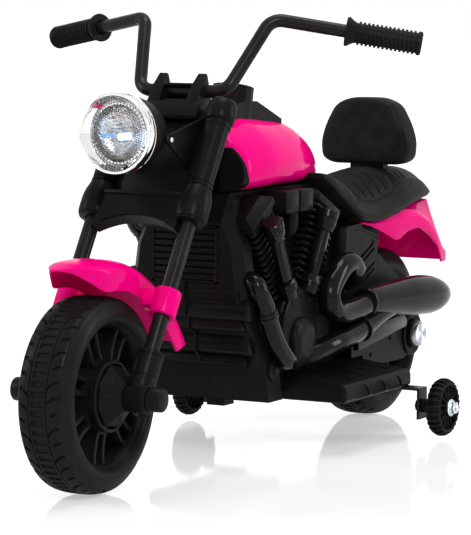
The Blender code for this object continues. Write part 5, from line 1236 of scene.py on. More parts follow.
def tank_rings(count=72, stations=60):
    """The tank's sections from front to tail: a squarish belly under a rounder crown."""
    rings = []
    for step in range(stations + 1):
        share = (step / stations) ** 0.92 * 0.995
        y = TANK_FRONT + TANK_LENGTH * share
        front = min(1.0, share / 0.22) ** 0.6
        half = TANK_HALF * (1.0 - share**2.2) ** 0.85 * (0.90 + 0.10 * front)
        saddle = 1.0 - 0.06 * held((0.62 - share) / 0.20)
        height = TANK_HEIGHT * saddle * (1.0 - share**2.6) ** 0.6 * (0.80 + 0.20 * front)
        nose = math.sqrt(max(0.0, 1.0 - (1.0 - min(1.0, (share + 0.008) / 0.05)) ** 2)) * 0.05 + 0.95
        belt = TANK_BOTTOM + 0.32 * height
        ring = []
        for spot in range(count):
            turn = 2 * math.pi * (spot + 0.5) / count
            across, up = math.cos(turn), math.sin(turn)
            power = 2 / 1.85 if up > 0 else 2 / 3.2
            rise = TANK_BOTTOM + height - belt if up > 0 else belt - TANK_BOTTOM
            wide = half * nose * math.copysign(abs(across) ** power, across)
            ring.append(Vector((wide, y, belt + nose * rise * math.copysign(abs(up) ** power, up))))
        rings.append(ring)
    return rings


def tank():
    """The pink shell, and the black lower nose that faces the fork."""
    form = loft(tank_rings())
    notch = box((-0.0326, -0.2, 0.25), (0.0326, -0.0594, TANK_BOTTOM + 0.0471))
    sweep_cut = at(BODY.inverted() @ STEER, box((-0.1, -0.2, 0.15), (0.1, 0.040, 0.50)))
    form = carved(form, notch, sweep_cut)
    outline = mm("-300 250, -300 354, -130 354, -128.5 340, -127 325, -120 311, -113 303.8, -110 250")
    wedge = prism(outline, -0.1, 0.1)
    nose = carved(form, wedge, operation="INTERSECT")
    return eased(carved(form, wedge), 0.0009, 2, 50.0), nose


shell, nose = tank()
dress("tank_shell", PINK, "frame", BODY, shell, node="fuel_tank")
dress("tank_nose", BLACK, "frame", BODY, nose, node="fuel_tank")


def gauge():
    """The dial with its minute ticks, pointer and hub. It carries plain ticks alone."""
    lean = Vector((0.0, 0.22, 1.0)).normalized()
    centre = Vector((0.0, -0.046, 0.380)) + lean * 0.0385
    place = BODY @ aimed(centre, lean)
    face = lathe(mm("-0.6 0, -0.6 19.2, -1.8 19.7, -1.8 0"), 72, "Z")
    small = box((-0.0006, -0.00025, 0.0152), (-0.0003, 0.00025, 0.0176))
    large = box((-0.0006, -0.00045, 0.0136), (-0.0003, 0.00045, 0.0176))
    turned = Matrix.Rotation(-math.pi / 2, 4, "Y")
    ticks = at(turned, round_axle(small, DEEP_BLACK_AND_PAINTED_SHADE, 40), round_axle(large, DEEP_BLACK_AND_PAINTED_SHADE, 8))
    pointer = prism(mm("-0.7 -3, 0.7 -3, 0.2 13, -0.2 13"), -0.0004, 0.0000, Matrix.Identity(4))
    pointer = at(Matrix.Rotation(0.9, 4, "Z"), pointer)
    hub = lathe(mm("0.6 0, 0.4 1.6, -0.6 1.8, -0.6 0"), 24, "Z")
    rim = lathe(mm("0 20.3, 0.4 20.9, 0.2 22.2, -1.4 22.8, -1.4 20.3"), 72, "Z", closed=True)
    return place, face, gathered(ticks, pointer, hub), rim


place, face, marks_mesh, rim_ring = gauge()
dress("gauge_dial", CREAM, "frame", place, face, node="gauge_face")
dress("gauge_marks", DEEP_BLACK_AND_PAINTED_SHADE, "frame", place, marks_mesh)
dress("gauge_rim", GLOSS, "frame", place, rim_ring)


# ---------------------------------------------------------------- seat and backrest
SEAT_HALF = 0.0722
SEWN_EDGE = 0.76
SEAM_BOW = 0.026
FIRST_SEAM, LAST_SEAM = 0.152, 0.312
SEAMS = [FIRST_SEAM + (LAST_SEAM - FIRST_SEAM) * (line / 8) ** 1.15 for line in range(9)]
CROWN = mm("130.5 296.5, 160 295.5, 200 300, 236 306, 285 309, 358 307, 394 302, 434 292.5, 444 288")
SIDE_SEAM = mm(
    "130.5 290.5, 150 284, 182.8 278.2, 211 275.3, 250.8 278, 279.6 285, 311.5 294.5, 345 296.5, 390 290.5, "
    "444 272"
)
SKIRT = mm("130.5 270.5, 159.7 256.1, 185 252.7, 208.9 251.6, 266.4 257.5, 343.6 268, 390 270, 444 270.8")


def post_slot(low, high):
    """The room of the backrest's post."""
    return box((-0.0228, 0.3187, low), (0.0228, 0.3333, high))


def saddle():
    """The cushion: a dished seat with quilted arcs inside a sewn edge line, and sides that fall to a skirt."""
    front, back = CROWN[0][0], CROWN[-1][0]
    stations, columns = 220, 56
    rings = []
    for station in range(stations + 1):
        share = station / stations
        y = front + (back - front) * station / stations
        dish = held((share - 0.02) / 0.2) * held((1.0 - share) / 0.30)
        lined = held((y - 0.136) / 0.008) * held((0.326 - y) / 0.003)
        across_back = math.exp(-(((y - 0.325) / 0.0011) ** 2))
        taper = max(0.0, (share - 0.30) / 0.70)
        half = SEAT_HALF * (1.0 - 0.40 * taper**1.5 - 0.30 * taper**10) * (0.97 + 0.03 * held(share / 0.1))
        crown, seam_z, low = read_line(CROWN, y), read_line(SIDE_SEAM, y), read_line(SKIRT, y)
        seam_z = min(seam_z, crown - 0.002)
        side_z = low + 0.36 * (seam_z - low)
        ends = held((1.0 - share) / 0.02) ** 0.5
        quilted = held((y - 0.140) / 0.010) * held((0.322 - y) / 0.006)
        ring = []
        for column in range(-columns, columns + 1):
            across = math.sin(math.pi / 2 * column / columns)
            reach = abs(across)
            if reach < SEWN_EDGE:
                z = crown - (crown - seam_z) * (reach / SEWN_EDGE) ** 2.1
            else:
                z = seam_z - (seam_z - side_z) * ((reach - SEWN_EDGE) / (1.0 - SEWN_EDGE)) ** 1.7
            z = low + (z - low) * (0.80 + 0.20 * ends)
            middle = held((SEWN_EDGE - 0.015 - reach) / 0.06) * quilted
            bow = SEAM_BOW * max(0.0, 1.0 - (across / SEWN_EDGE) ** 2) * dish
            stitched = max(math.exp(-(((y - seam) / 0.0013) ** 2)) for seam in SEAMS)
            puff = 0.0
            for first, second in zip(SEAMS, SEAMS[1:]):
                if first <= y <= second:
                    puff = math.sin(math.pi * (y - first) / (second - first))
            z += (0.0012 * puff - 0.0026 * stitched) * middle
            line = math.exp(-(((reach - SEWN_EDGE) / 0.010) ** 2)) * lined
            z -= 0.0013 * max(line, across_back * held((SEWN_EDGE - reach) / 0.01))
            ring.append(Vector((half * across, y + bow, z)))
        base = max(low, seat_base(y)) if y < 0.27 else low
        foot = min(0.046, half - 0.0060)
        under = [(half - 0.0004, low + 0.0030), (half - 0.0030, low), (foot, base)]
        under += [(0.0, base)] + [(-across, z) for across, z in reversed(under)]
        ring += [Vector((across, y, z)) for across, z in under]
        rings.append(ring)
    return carved(loft(rings, 60.0), post_slot(seat_base(0.320) + 0.010, 0.5))


def saddle_horn():
    """The side of the seat's nose, which runs forward beside the tank's tail."""
    rows = mm(
        "58 310.5 316.5, 68 305 316, 90.6 292.7 311, 110 282 305, 124.8 274.5 299, 133 270 293.5, 142 267 288"
    )
    rings = []
    for y in [0.058 + 0.084 * step / 24 for step in range(25)]:
        low = read_line([(row[0], row[1]) for row in rows], y)
        top = read_line([(row[0], row[2]) for row in rows], y)
        rise = top - low
        outer = 0.0718 - 0.0030 * held((0.075 - y) / 0.017)
        outline = ((0.034, 0.0), (outer - 0.0028, 0.0), (outer - 0.0006, 0.10), (outer, 0.30))
        outline += ((outer - 0.0004, 0.55), (outer - 0.0022, 0.80), (outer - 0.0060, 0.95))
        outline += ((outer - 0.0110, 1.0), (0.034, 0.99))
        rings.append([Vector((across, y, low + rise * up)) for across, up in outline])
    return loft(rings, 60.0)


dress("saddle_cushion", LEATHER, "frame", BODY, saddle(), both(saddle_horn()), node="seat", padded=0.7)


def pad_outline(grow, count=120):
    """The rest's rounded trapezoid: a flat foot, drawn-in shoulders and a softly arched head."""
    corners = mm(
        "-44.6 312.5, 44.6 312.5, 58.2 319, 60.3 340, 54 361, 40 387, 20 394.8, -20 394.8, -40 387, -54 361, "
        "-60.3 340, -58.2 319"
    )
    path = filleted(corners, 0.018, 8)
    loop = path + [path[0]]
    lengths = [0.0]
    for here, there in zip(loop, loop[1:]):
        lengths.append(lengths[-1] + (there - here).length)
    spots = []
    index = 0
    for step in range(count):
        goal = lengths[-1] * step / count
        while lengths[index + 1] < goal:
            index += 1
        run = (goal - lengths[index]) / max(1e-9, lengths[index + 1] - lengths[index])
        spots.append(loop[index].lerp(loop[index + 1], run))
    middle = Vector((0.0, 0.3530))
    return [middle + (spot - middle) * (1.0 - grow) for spot in spots]


# Depth of a section behind the front, and how far it draws in
PAD_SECTIONS = ((0.0006, 0.985), (0.0002, 0.70), (0.0, 0.45), (0.0001, 0.28), (0.0005, 0.165), (0.0013, 0.100))
PAD_SECTIONS += ((0.0028, 0.056), (0.0052, 0.024), (0.0086, 0.006), (0.0120, 0.0), (0.0240, 0.0))
PAD_SECTIONS += ((0.0300, 0.006), (0.0335, 0.024), (0.0350, 0.044), (0.0346, 0.056), (0.0364, 0.080))
PAD_SECTIONS += ((0.0380, 0.130), (0.0385, 0.300), (0.0385, 0.985))


def rest_pad():
    """A stuffed rest: a nearly flat front with softly rounded edges, a plain side band and a welted back."""
    rings = []
    for depth, inset in PAD_SECTIONS:
        rings.append([Vector((spot.x, 0.306 + depth, spot.y)) for spot in pad_outline(inset)])
    return carved(loft(rings, 70.0), post_slot(0.2, 0.3368))


dress("rest_cushion", LEATHER, "frame", BODY, rest_pad(), node="backrest_pad", padded=0.7)


# ---------------------------------------------------------------- body details
# The solids that stay as they are, by finish
KEPT = {
    BLACK: (
        "body_shell_left",
        "body_shell_right",
        "footrest_left",
        "footrest_right",
        "accelerator_pedal",
        "dash_console",
        "backrest_post",
    ),
    GLOSS: ("power_switch", "direction_switch"),
    TUBE: ("training_bracket_left", "training_bracket_right"),
    STEEL: ("front_axle", "steering_stem", "drive_motor", "rear_axle"),
    WHITE: ("music_button", "horn_button", "gearbox"),
    GREY: ("battery",),
}
for finish, nodes in KEPT.items():
    for node in nodes:
        coat(node, finish)

FRONT_Y = -0.150


def grille():
    """The insert's frame and its overlapping slats."""
    low, high, half = 0.2049, 0.2691, 0.0416
    rims = ((-half, -half + 0.0042, low, high), (half - 0.0042, half, low, high))
    rims += ((-half, half, low, low + 0.0028), (-half, half, high - 0.0028, high))
    bars = [box((a, FRONT_Y - 0.0008, c), (b, FRONT_Y + 0.0040, d), 0.0005) for a, b, c, d in rims]
    bars.append(box((-half, FRONT_Y + 0.0030, low), (half, FRONT_Y + 0.0041, high)))
    slat = prism(mm("3.4 0, -0.4 1, -0.4 5.8, 1 6.6, 3.4 7"), -half + 0.004, half - 0.004, ease=0.0003)
    slat.transform(moved(0.0, FRONT_Y, low + 0.0030))
    return gathered(*bars, in_row(slat, BLACK, 8, (0.0, 0.0, 0.00735)))


def grille_hole_shade():
    """Painted shade for the slats' sound holes: rows of small dark discs on the slats."""
    hole_shade_disc = lathe(mm("0.4 0, 0.4 0.9, -0.4 0.9, -0.4 0"), 12, "Z")
    hole_shade_disc = at(Matrix.Rotation(math.pi / 2, 4, "X"), hole_shade_disc)
    rows = []
    for row, (count, start) in enumerate(((7, -0.0165), (9, -0.0220), (9, -0.0220), (7, -0.0165))):
        spot = moved(start, FRONT_Y - 0.0003, 0.2160 + 0.0147 * row - 0.0006)
        rows.append(in_row(at(spot, hole_shade_disc), DEEP_BLACK_AND_PAINTED_SHADE, count, (0.0055, 0.0, 0.0)))
    return gathered(*rows)


dress("grille_insert", BLACK, "frame", BODY, grille(), node="front_grille")
# Painted shade: dark discs stand where the slats' sound holes are.
dress("grille_sound_holes", DEEP_BLACK_AND_PAINTED_SHADE, "frame", BODY, grille_hole_shade())


def front_steps():
    """The stepped bands across the lower front, the seam strip down its middle and the cheek plates."""
    parts = [box((-0.0660, FRONT_Y - 0.0010, 0.1880), (0.0660, FRONT_Y + 0.0140, 0.1990), 0.0018)]
    profile = mm(
        "-139.5 166, -139.5 155.5, -137.5 154, -122.5 148, -123.5 128.5, -121.2 126.2, -99 118.5, -87 116, "
        "-85 90, -84 79.5, -70 79.5, -70 166"
    )
    parts.append(prism(profile, -0.0655, 0.0655, ease=0.0013))
    for z in (0.1425, 0.1350):
        lip = [(-0.1245, z + 0.0014), (-0.1250, z), (-0.1215, z - 0.0016), (-0.1200, z + 0.0014)]
        parts.append(prism(lip, -0.0560, 0.0600, ease=0.0004))
    block_side = mm("-111 123, -114 112, -100 108, -90 120")
    parts.append(prism(block_side, -0.0600, 0.0560, ease=0.0016))
    seam = mm(
        "-152.5 206, -153 190, -151 183, -150.5 171, -142 165.5, -141 155, -133 151.5, -125.5 147.5, -125 129, "
        "-116 119, -112 112, -93.5 108, -92.5 98, -87 83, -78 69, -76.5 61"
    )
    line = smooth_path([Vector((0.0, y, z)) for y, z in seam], 5)
    parts.append(sweep(line, 0.0014, resolution=3))
    cheek = mm("-133 166.5, -119 166.5, -107 144, -80 113, -84 101, -94 103, -119 140")
    parts.append(both(prism(cheek, 0.0640, 0.0722, ease=0.0012, fillet=0.003)))
    return gathered(*parts)


def cross_tubes():
    """The two round tubes across the lower front, with their turned ends."""
    upper_end = mm("77.2 0, 77.2 8.5, 76.4 10.5, 75 11.8, 70 12, 70 0")
    lower_end = mm("79 0, 79 5.2, 78.2 6.2, 77.2 6.4, 77.2 9.8, 76.4 12.5, 74.8 13, 60 13, 60 0")
    parts = []
    for spot, end, radius in (((-0.1370, 0.176), upper_end, 0.0118), ((-0.078, 0.104), lower_end, 0.0127)):
        parts.append(both(at(moved(0.0, *spot), lathe(end, 48))))
        parts.append(rod((-0.074, *spot), (0.074, *spot), radius, sides=64))
    return gathered(*parts)


dress("front_step_bands", BLACK, "frame", BODY, front_steps())
dress("cross_tubes", BLACK, "frame", BODY, cross_tubes())


def side_cover_trim():
    """The panel line, the louvre lips and the pillar's cap of the side cover."""
    parts = []
    post = at(moved(0.0585, 0.124, 0.0), lathe(mm("249.2 0, 249.2 7.8, 248.4 8.6, 205 8.7, 205 0"), 40, "Z"))
    parts.append(both(post))
    lip = prism(mm("167.5 174.5, 208.5 191.5, 208.5 192.7, 167.5 175.7"), 0.0628, 0.0643, ease=0.0003)
    lips = in_row(lip, BLACK, 2, (0.0, 0.0, 0.0075))
    parts.append(both(lips, at(moved(0.0, 0.0, 0.025), lips)))
    edge = mm("119.5 166, 119.5 244, 170 244, 203 235, 215 230")
    for side in (1, -1):
        line = [Vector((side * COVER_X, y, z)) for y, z in filleted(edge, 0.004, closed=False)]
        parts.append(sweep(line, 0.0007, resolution=2))
    return gathered(*parts)


dress("side_cover_trim", BLACK, "frame", BODY, side_cover_trim())
cover_screw = screw_head(0.0034, 0.0016)
marks = []
for side in (1, -1):
    for x, y, z in mm("0 205 227, 0 127 172", COVER_X) + mm("62 205 90, 62 260 105"):
        marks.append((Vector((side * x, y, z)), Vector((side, 0.0, 0.0))))
dress("cover_screws", BLACK, "frame", BODY, on_points(cover_screw, BLACK, marks))


# ---------------------------------------------------------------- engine moulding
MOULD_ROOT = 0.0450
FIN_ROWS_HEIGHT = 0.0895
FINS = 12
CRANK = Vector((0.0, -0.018, 0.131))
# Each cylinder's foot, lean and the place of its outer face
CYLINDERS = (((-0.046, 0.1945), -35.0, 0.0730), ((0.020, 0.187), 25.0, 0.0720))
CASE_OUTER = 0.078


def fin_plate(half, outer):
    """One cooling fin: a thin plate, its outer corners well rounded and its rim thinned."""
    outline = [(0.0455, -half), (outer - 0.0030, -half), (outer, -half + 0.006)]
    outline += [(across, -along) for across, along in reversed(outline)]
    return prism(filleted(outline, 0.0075, 6), -0.0015, 0.0015, Matrix.Identity(4), ease=0.0007)


def cylinder_stack(outer):
    """A cylinder's barrel with its stack of fins."""
    barrel = box((0.0440, -0.0225, -0.015), (outer - 0.0075, 0.0225, 0.097), 0.006, 4)
    stack = at(moved(0.0, 0.0, 0.0045), fin_plate(0.0280, outer))
    stack = in_row(stack, BLACK, FINS, (0.0, 0.0, FIN_ROWS_HEIGHT / (FINS - 1)))
    return gathered(barrel, stack)


def rocker_box(outer):
    """The bevelled box on a cylinder's head, with its gasket."""
    low, high, half = 0.0965, 0.1145, 0.0295
    rings = []
    for z, inset in mm("0 1.5, 1.5 0, 10 0", low) + mm("-3 5.5, 0 8.5", high):
        rings.append(level_ring(MOULD_ROOT, outer + 0.0018 - inset * 1.3, -half + inset, half - inset, z))
    cover = eased(loft(rings), 0.0011, 3, 20.0)
    face = outer + 0.0022
    gasket = box((MOULD_ROOT, -half + 0.001, low + 0.0018), (face, half - 0.001, low + 0.0034), 0.0004)
    return gathered(cover, gasket)


def pushrod(foot, head):
    """A pushrod tube with its ribbed cup under the rocker box and the stepped collar on the crankcase."""
    foot, head = Vector(foot), Vector(head)
    run = (head - foot).length
    profile = mm(
        "0 0, 0 10.8, -1.2 12.1, -9 12.3, -9.4 11.6, -10 12.2, -18.5 11.6, -20 10.4, -24 10, -25 8.8, -25.2 0",
        run,
    )
    cup = lathe(profile, 48, "Z")
    shaft = lathe(mm("-10 0, -10 8.2", run) + mm("6 8.2, 6 0"), 8, "Z")
    collar = mm(
        "20 0, 20 9.2, 19 11.2, 15 11.8, 14.4 12.2, 9.6 12.4, 9 11.2, 7.6 11.2, 7 10.6, 1 10.4, -2 10, -2 0"
    )
    return at(aimed(foot, head - foot), cup, eased(shaft, 0.0006), lathe(collar, 48, "Z"))


def crankcase():
    """The round timing case with its raised flange, shoulder lobes and bolt bosses, cut flat at the foot."""
    centre = (0.0, CRANK.y, CRANK.z + 0.014)
    outer = CASE_OUTER
    profile = mm("0 0, 0 42.5, -1 44.2, -5 44.6, -5.5 47.2, -6.5 48, -30 48, -30 0", outer)
    case = at(Matrix.Translation(centre), lathe(profile, 96))
    lobe = mm("-64 166, -56 180, -36 190.5, 0 190.5, 21 180, 27 164")
    lobe = prism(lobe, 0.0480, outer - 0.0035, ease=0.0020, fillet=0.004)
    foot = box((0.0, -0.2, 0.0), (0.2, 0.2, 0.0985))
    boss = lathe(mm("1 0, 1 2.6, 0.2 3.4, -4 3.6, -4 0", outer), 24)
    boss.transform(moved(0.0, 0.0, 0.0380))
    bosses = at(Matrix.Translation(centre), round_axle(boss, BLACK, 5, -1.25, 3.1))
    return gathered(carved(case, foot), lobe, bosses)


def engine():
    plate = mm("-108 262, -70 272, 70 272, 112 244, 112 110, 84 96, -48 96, -60 108, -104 170")
    parts = [prism(plate, ENGINE_FOOT, ENGINE_FOOT + 0.006, ease=0.0008), crankcase()]
    for base, lean, outer in CYLINDERS:
        place = moved(0.0, *base) @ Matrix.Rotation(math.radians(-lean), 4, "X")
        parts.append(at(place, cylinder_stack(outer), rocker_box(outer)))
    bracket = mm("21 156, 21 172, 33 174, 40 166, 36 154")
    parts.append(prism(bracket, 0.0500, 0.0800, ease=0.0012, fillet=0.003))
    return gathered(*parts)


def down_pipe():
    """The front cylinder's pipe, which bends down to the foot, with its ring."""
    down = mm(
        "56 -122 208, 70 -130 208.5, 80 -134 205, 84 -133 196, 85.5 -122 181.7, 85.5 -117.3 171.5, "
        "85.5 -104.8 152.5, 85.5 -89.8 134.3, 85.5 -69.6 117.3, 80 -52 112, 70 -44 115"
    )
    pipe = sweep(smooth_path(down, 10), 0.0106, resolution=9)
    ring = mm("-6 10, -5.6 11.8, -4.4 12.2, -2.4 12.2, -1.8 11.4, -1 11.4, -0.4 12.4, 3 12.6, 4.2 11.8, 4.6 10")
    place = aimed((0.0855, -0.1165, 0.1700), (0.0, 0.55, -1.0))
    return gathered(pipe, at(place, lathe(ring, 48, "Z", closed=True)))


def cam_cover():
    """The shallow cover on the timing case, with its bevel, ring groove and two keyed studs."""
    base = CASE_OUTER + 0.0003
    profile = mm("8.2 0, 8.6 12, 9 19.6, 8.4 20.6, 7.8 20.8, 7.6 21.8, 5.8 26.2, 4.4 27.3, 0 27.5, 0 0", base)
    disc = lathe(profile, 96)
    stud = at(moved(base + 0.0086, 0.0, 0.0150), lathe(mm("0.7 0, 0.7 1.6, 0 2.2, -1 2.2, -1 0"), 24))
    key = box((base + 0.0088, -0.0004, 0.0115), (base + 0.0094, 0.0004, 0.0150), 0.0002)
    return at(Matrix.Translation(CRANK), disc, round_axle(gathered(stud, key), BLACK, 2, 0.45))


front_rod = pushrod((0.0800, CRANK.y - 0.0365, 0.187), (0.0870, -0.1095, 0.2735))
rear_rod = pushrod((0.0760, CRANK.y + 0.020, 0.185), (0.0830, 0.041, 0.275))
dress_pair("engine_block", BLACK, "frame", BODY, engine(), node="engine_cover")
dress_pair("pushrods", GLOSS, "frame", BODY, front_rod, rear_rod)
dress_pair("down_pipe", GLOSS, "frame", BODY, down_pipe())
dress_pair("cam_cap", BLACK, "frame", BODY, cam_cover(), node="cam_cover")


def intake():
    """Twin intake boxes with their bevelled faces and rims, tied by a bridge over the elbow."""
    parts = []
    for y in (-0.0590, -0.0230):
        parts.append(box((ENGINE_FOOT, y, 0.2785), (0.0796, y + 0.031, 0.3027), 0.0016, 3))
        parts.append(box((0.0780, y + 0.004, 0.2820), (0.0802, y + 0.027, 0.2995), 0.0010))
        parts.append(box((MOULD_ROOT, y + 0.003, 0.2775), (0.0770, y + 0.028, 0.2790), 0.0005))
    parts.append(box((ENGINE_FOOT, -0.040, 0.2845), (0.0680, -0.010, 0.2987), 0.002))
    elbow = mm("62 -15 279, 62.2 -14.5 266, 60 -13 258, 54 -11 253")
    parts.append(sweep(smooth_path(elbow, 6), 0.0088, resolution=6))
    return gathered(*parts)


dress_pair("intake_box", BLACK, "frame", BODY, intake(), node="intake")


# ---------------------------------------------------------------- exhausts
PIPE_RADIUS = 0.013
LOWER_PIPE_RADIUS = 0.0125


def exhaust():
    """Two polished pipes that run into one swelling silencer with a drawn tip and a heat fin."""
    x, start = 0.091, 0.0644
    upper = mm("-4 112 190, 6 112 190, 15 111 193", start)
    upper += mm("-2 99 204.5, 0 80 212.5, 0 57 206.5, -1 34 187, 0 31 171, 0 50 158, 0 90 156, 0 132 161", x)
    lower = mm("70 -4 108, 78 8 112, 86 28 119")
    lower += mm("0 50 123.5, 0 75 126.5, 0 100 130, 0 130 136.5, 0 160 145, 0 200 153", x)
    body = mm(
        "124 163 13.5, 134 163 16, 165 162.2 18.5, 205 161.2 21.2, 240 160 23.6, 272 158.5 24.2, "
        "298 156.7 23.2, 319 155.5 19.6, 336 155 13.8, 349 155.2 7.2, 355 155.5 3"
    )
    path = smooth_path([Vector((y, z, radius)) for y, z, radius in body], 7)
    line = [Vector((x + 0.02 * (spot.x - 0.128), spot.x, spot.y)) for spot in path]
    silencer = sweep(line, PIPE_RADIUS, [spot.z / PIPE_RADIUS for spot in path], 10)
    runs = ((upper, PIPE_RADIUS), (lower, LOWER_PIPE_RADIUS))
    pipes = [sweep(smooth_path(run, 8), radius, resolution=9) for run, radius in runs]
    rings = []
    for y, z, rise, radius in ((0.1270, 0.1630, 0.0, 0.0150), (0.1150, 0.1330, 0.20, 0.0140)):
        half = [(0.0030, radius - 0.003), (0.0028, radius + 0.0006), (0.0016, radius + 0.0014)]
        profile = [(-along, reach) for along, reach in half] + half[::-1]
        rings.append(at(aimed((x, y, z), (0.0, 1.0, rise)), lathe(profile, 64, "Z", closed=True)))
    outline = mm("100 108, 236 124.5, 236.5 132, 228 140, 120 130, 100 120")
    fin = prism(outline, x - 0.0036, x + 0.0036, ease=0.0014, fillet=0.002)
    blend = [Vector((x + 0.001, y, z)) for y, z in mm("150 145, 200 150, 250 153")]
    saddle_run = sweep(smooth_path(blend, 8), 0.0105, resolution=8)
    return gathered(silencer, *pipes, *rings, fin, saddle_run)


dress_pair("exhaust_pipes", GLOSS, "frame", BODY, exhaust(), node="exhaust")


# ---------------------------------------------------------------- footboard trim
def board_trim():
    """The bead round the board's root and the raised lines across its top."""
    root = mm("-3 61, -3 90, 0 92.5, 90 92.5, 176 92.5")
    parts = [sweep([Vector((0.0460, y, z)) for y, z in root], 0.0010, resolution=3)]
    for y in (0.0443, 0.0793, 0.1143, 0.1493):
        ends = [Vector((across, y, 0.0908 - 0.124 * (across - 0.0433))) for across in (0.0535, 0.1115)]
        parts.append(sweep(ends, 0.0013, resolution=3))
    return gathered(*parts)


dress_pair("board_bead", BLACK, "frame", BODY, board_trim())


# ---------------------------------------------------------------- rear axle trim
def axle_trim():
    base = 0.0643
    flange = mm("4.2 15, 4.2 17.6, 3.4 18, 0 18, 0 5.3, 3.5 5.3", base)
    button = mm("11.8 0, 11.9 10, 12 13.4, 11.4 14.6, 10.4 15.2, 4 15.2, 4 5.6, 4.2 0", base)
    return lathe(flange, 72, closed=True), lathe(button, 96)


flange, button = axle_trim()
dress_pair("axle_flange", BLACK, "frame", REAR_AXLE, flange)
dress_pair("axle_button", SILVER, "frame", REAR_AXLE, button, node="rear_axle_cap")
boss_ring = mm("65.2 23, 65.2 25, 64.2 26.8, 60 27.1, 60 20, 64 19.5")
dress("axle_boss_rings", BLACK, "frame", REAR_AXLE, both(lathe(boss_ring, 72, closed=True)))


# ---------------------------------------------------------------- training wheels
def training_wheel():
    """A ribbed wheel: ribs over the crown and down both shoulders, a shallow dish and thin radial bars."""
    outer, inner, rib_count, bar_count = 0.1790, 0.1605, 26, 14
    tyre_form = mm("-1.2 26.2, -0.4 27.2, -1 29.6, -4.5 30.6, -7.5 31.2", outer)
    tyre_form += mm("7.5 31.2, 4.5 30.6, 1 29.6, 0.4 27.2, 1.2 26.2", inner)
    band = lathe(tyre_form, 96, closed=True)
    rib = mm("-0.4 28, -0.8 30.8, -4.8 33.4, -7.8 34.2", outer)
    rib += mm("7.8 34.2, 4.8 33.4, 0.8 30.8, 0.4 28, 3 27", inner) + mm("-3 27", outer)
    rib = prism(rib, -0.0014, 0.0014, TOP_VIEW, ease=0.0005)
    ribs = round_axle(rib, TYRE, rib_count)
    hub = mm("0 4.8, 0 8.4, -1 9.2, -5 9.6", outer) + mm("5 9.6, 1 9.2, 0 8.4, 0 4.8", inner)
    web = mm("-5.5 9, -5.5 26.8", outer) + mm("5.5 26.8, 5.5 9", inner)
    bar = box((inner + 0.0020, -0.0007, 0.0085), (outer - 0.0020, 0.0007, 0.0266), 0.0003)
    bars = round_axle(bar, TYRE, bar_count)
    return gathered(band, ribs, lathe(hub, 48, closed=True), lathe(web, 72, closed=True), bars)


TRAINING = moved(0.0, TRAINING_Y, TRAINING_Z)
training = training_wheel()


def training_bolt():
    """Flanged nut, washer and the bolt's threaded end, with its hex head inside the bracket."""
    washer, nut = 0.1793, 0.1808
    parts = [lathe(mm("0 4.2, 0 9.6, -0.3 10", nut) + mm("0 10, 0 4.2", washer), 48, closed=True)]
    hexagon = lathe(mm("6.4 0, 6.4 6.8, 5.6 7.5, 1 7.5, 0 7.2, 0 0", nut), 6)
    parts.append(eased(hexagon, 0.0003))
    parts.append(lathe(mm("1.4 5, 1.2 8.8, 0 9.3, 0 5", nut), 48, closed=True))
    thread = lathe(mm("0.5 3, 0 4, -0.5 3"), 32, closed=True)
    thread.transform(moved(nut + 0.0070, 0.0, 0.0))
    shank = lathe(mm("8.3 0, 8.3 3, 7.8 3.7", nut) + mm("160.2 3.7, 160.2 0"), 32)
    spacer = lathe(mm("160.1 3.7, 160.1 8, 144.3 8, 144.3 3.7"), 48, closed=True, ease=0.0006)
    head = eased(lathe(mm("140.7 0, 140.7 7, 136.6 7, 136 6.4, 136 0"), 6), 0.0003)
    neck = lathe(mm("144.5 0, 144.5 4, 140.5 4, 140.5 0"), 32)
    end = in_row(thread, ZINC, 2, (0.0010, 0.0, 0.0))
    return gathered(*parts, shank, end), gathered(spacer, head, neck)


bolt, inner_end = training_bolt()
for node, place in (("training_wheel_left", TRAINING), ("training_wheel_right", TRAINING @ MIRROR)):
    dress("ribbed_" + node, TYRE, node + "_set", place, training, node=node)
dress_pair("training_fixing", ZINC, "frame", TRAINING, bolt, node="training_bolt")
dress_pair("training_spacer", BLACK, "frame", TRAINING, inner_end, node="training_bolt")


# ---------------------------------------------------------------- studio
FLOOR_LIFT = 0.45
SKY_LIGHT = 0.30


def seen_straight(tree):
    """1 for the rays of the camera, mirrors and clear parts, and 0 for the light on the object."""
    rays = tree.nodes.new("ShaderNodeLightPath")
    seen = rays.outputs["Is Camera Ray"]
    for other in ("Is Glossy Ray", "Is Transmission Ray"):
        either = tree.nodes.new("ShaderNodeMath")
        either.operation = "MAXIMUM"
        tree.links.new(seen, either.inputs[0])
        tree.links.new(rays.outputs[other], either.inputs[1])
        seen = either.outputs[0]
    return seen


def studio_floor():
    """A white glazed floor, which shows its own white where it is seen straight, less the shadow."""
    mesh = bpy.data.meshes.new("studio floor")
    mesh.from_pydata(level_ring(-14.0, 14.0, -14.0, 26.0, 0.0), [], [(0, 1, 2, 3)])
    floor = bpy.data.objects.new("studio_floor", mesh)
    bpy.context.scene.collection.objects.link(floor)
    paint = Shade("glazed white floor")
    paint.set(colour=(0.80, 0.80, 0.80, 1.0), roughness=0.07, specular=0.5, glow=(1.0, 1.0, 1.0, 1.0))
    paint.set(glow_strength=paint.sums("MULTIPLY", seen_straight(paint.tree), FLOOR_LIFT))
    mesh.materials.append(paint.material)


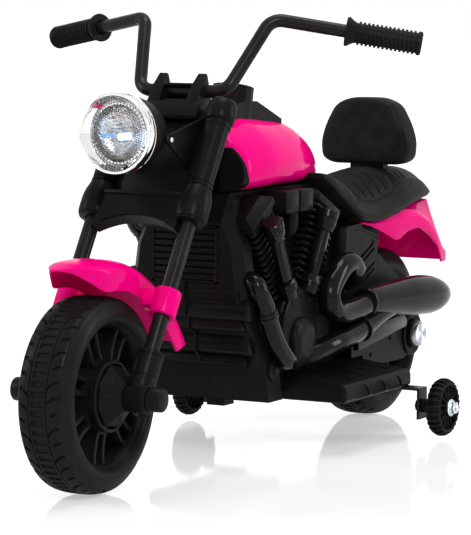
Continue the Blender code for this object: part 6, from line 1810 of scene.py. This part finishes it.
def studio_world():
    """White where it is seen straight, and softer for the light that it throws."""
    world = bpy.data.worlds.new("studio")
    bpy.context.scene.world = world
    world.use_nodes = True
    tree = world.node_tree
    backdrop = tree.nodes["Background"]
    backdrop.inputs["Color"].default_value = (1.0, 1.0, 1.0, 1.0)
    strength = tree.nodes.new("ShaderNodeMapRange")
    strength.inputs["To Min"].default_value = SKY_LIGHT
    tree.links.new(seen_straight(tree), strength.inputs["Value"])
    tree.links.new(strength.outputs["Result"], backdrop.inputs["Strength"])


def panel_light(name, place, aim, size, power):
    light = bpy.data.lights.new(name, "AREA")
    light.shape = "RECTANGLE"
    light.size, light.size_y = size
    light.energy = power
    made = bpy.data.objects.new(name, light)
    made.location = place
    made.rotation_euler = (Vector(aim) - Vector(place)).to_track_quat("-Z", "Y").to_euler()
    bpy.context.scene.collection.objects.link(made)


studio_floor()
studio_world()
# Name, place, aim, size and power
panel_light("key panel", (1.5, -1.9, 1.9), (0.0, 0.0, 0.25), (0.7, 1.0), 30.0)
panel_light("left panel", (-2.0, -1.3, 1.1), (0.0, -0.1, 0.25), (0.5, 1.4), 16.0)
panel_light("top panel", (0.1, 0.2, 2.3), (0.0, 0.0, 0.2), (1.0, 1.2), 24.0)
panel_light("rear panel", (2.0, 1.2, 1.0), (0.0, 0.1, 0.25), (0.5, 1.2), 16.0)

# The camera, fitted to the photograph. Focal length and picture height are in its pixels.
FOCAL_LENGTH = 2949.26
PICTURE_HEIGHT = 535.0
EYE = (1.5492, -2.98495, 0.5302)
LOOK_AT = (-0.00061, -0.02307, 0.21128)
ROLL = math.radians(0.44)

camera = bpy.data.cameras.new("camera")
camera.sensor_width = 36.0
camera.lens = FOCAL_LENGTH / PICTURE_HEIGHT * camera.sensor_width
camera.clip_end = 60.0
eye = bpy.data.objects.new("camera", camera)
eye.location = EYE
look = Vector(LOOK_AT) - eye.location
eye.rotation_mode = "QUATERNION"
eye.rotation_quaternion = look.to_track_quat("-Z", "Y") @ Matrix.Rotation(ROLL, 4, "Z").to_quaternion()
bpy.context.scene.collection.objects.link(eye)
bpy.context.scene.camera = eye
bpy.context.scene.view_settings.view_transform = "Standard"
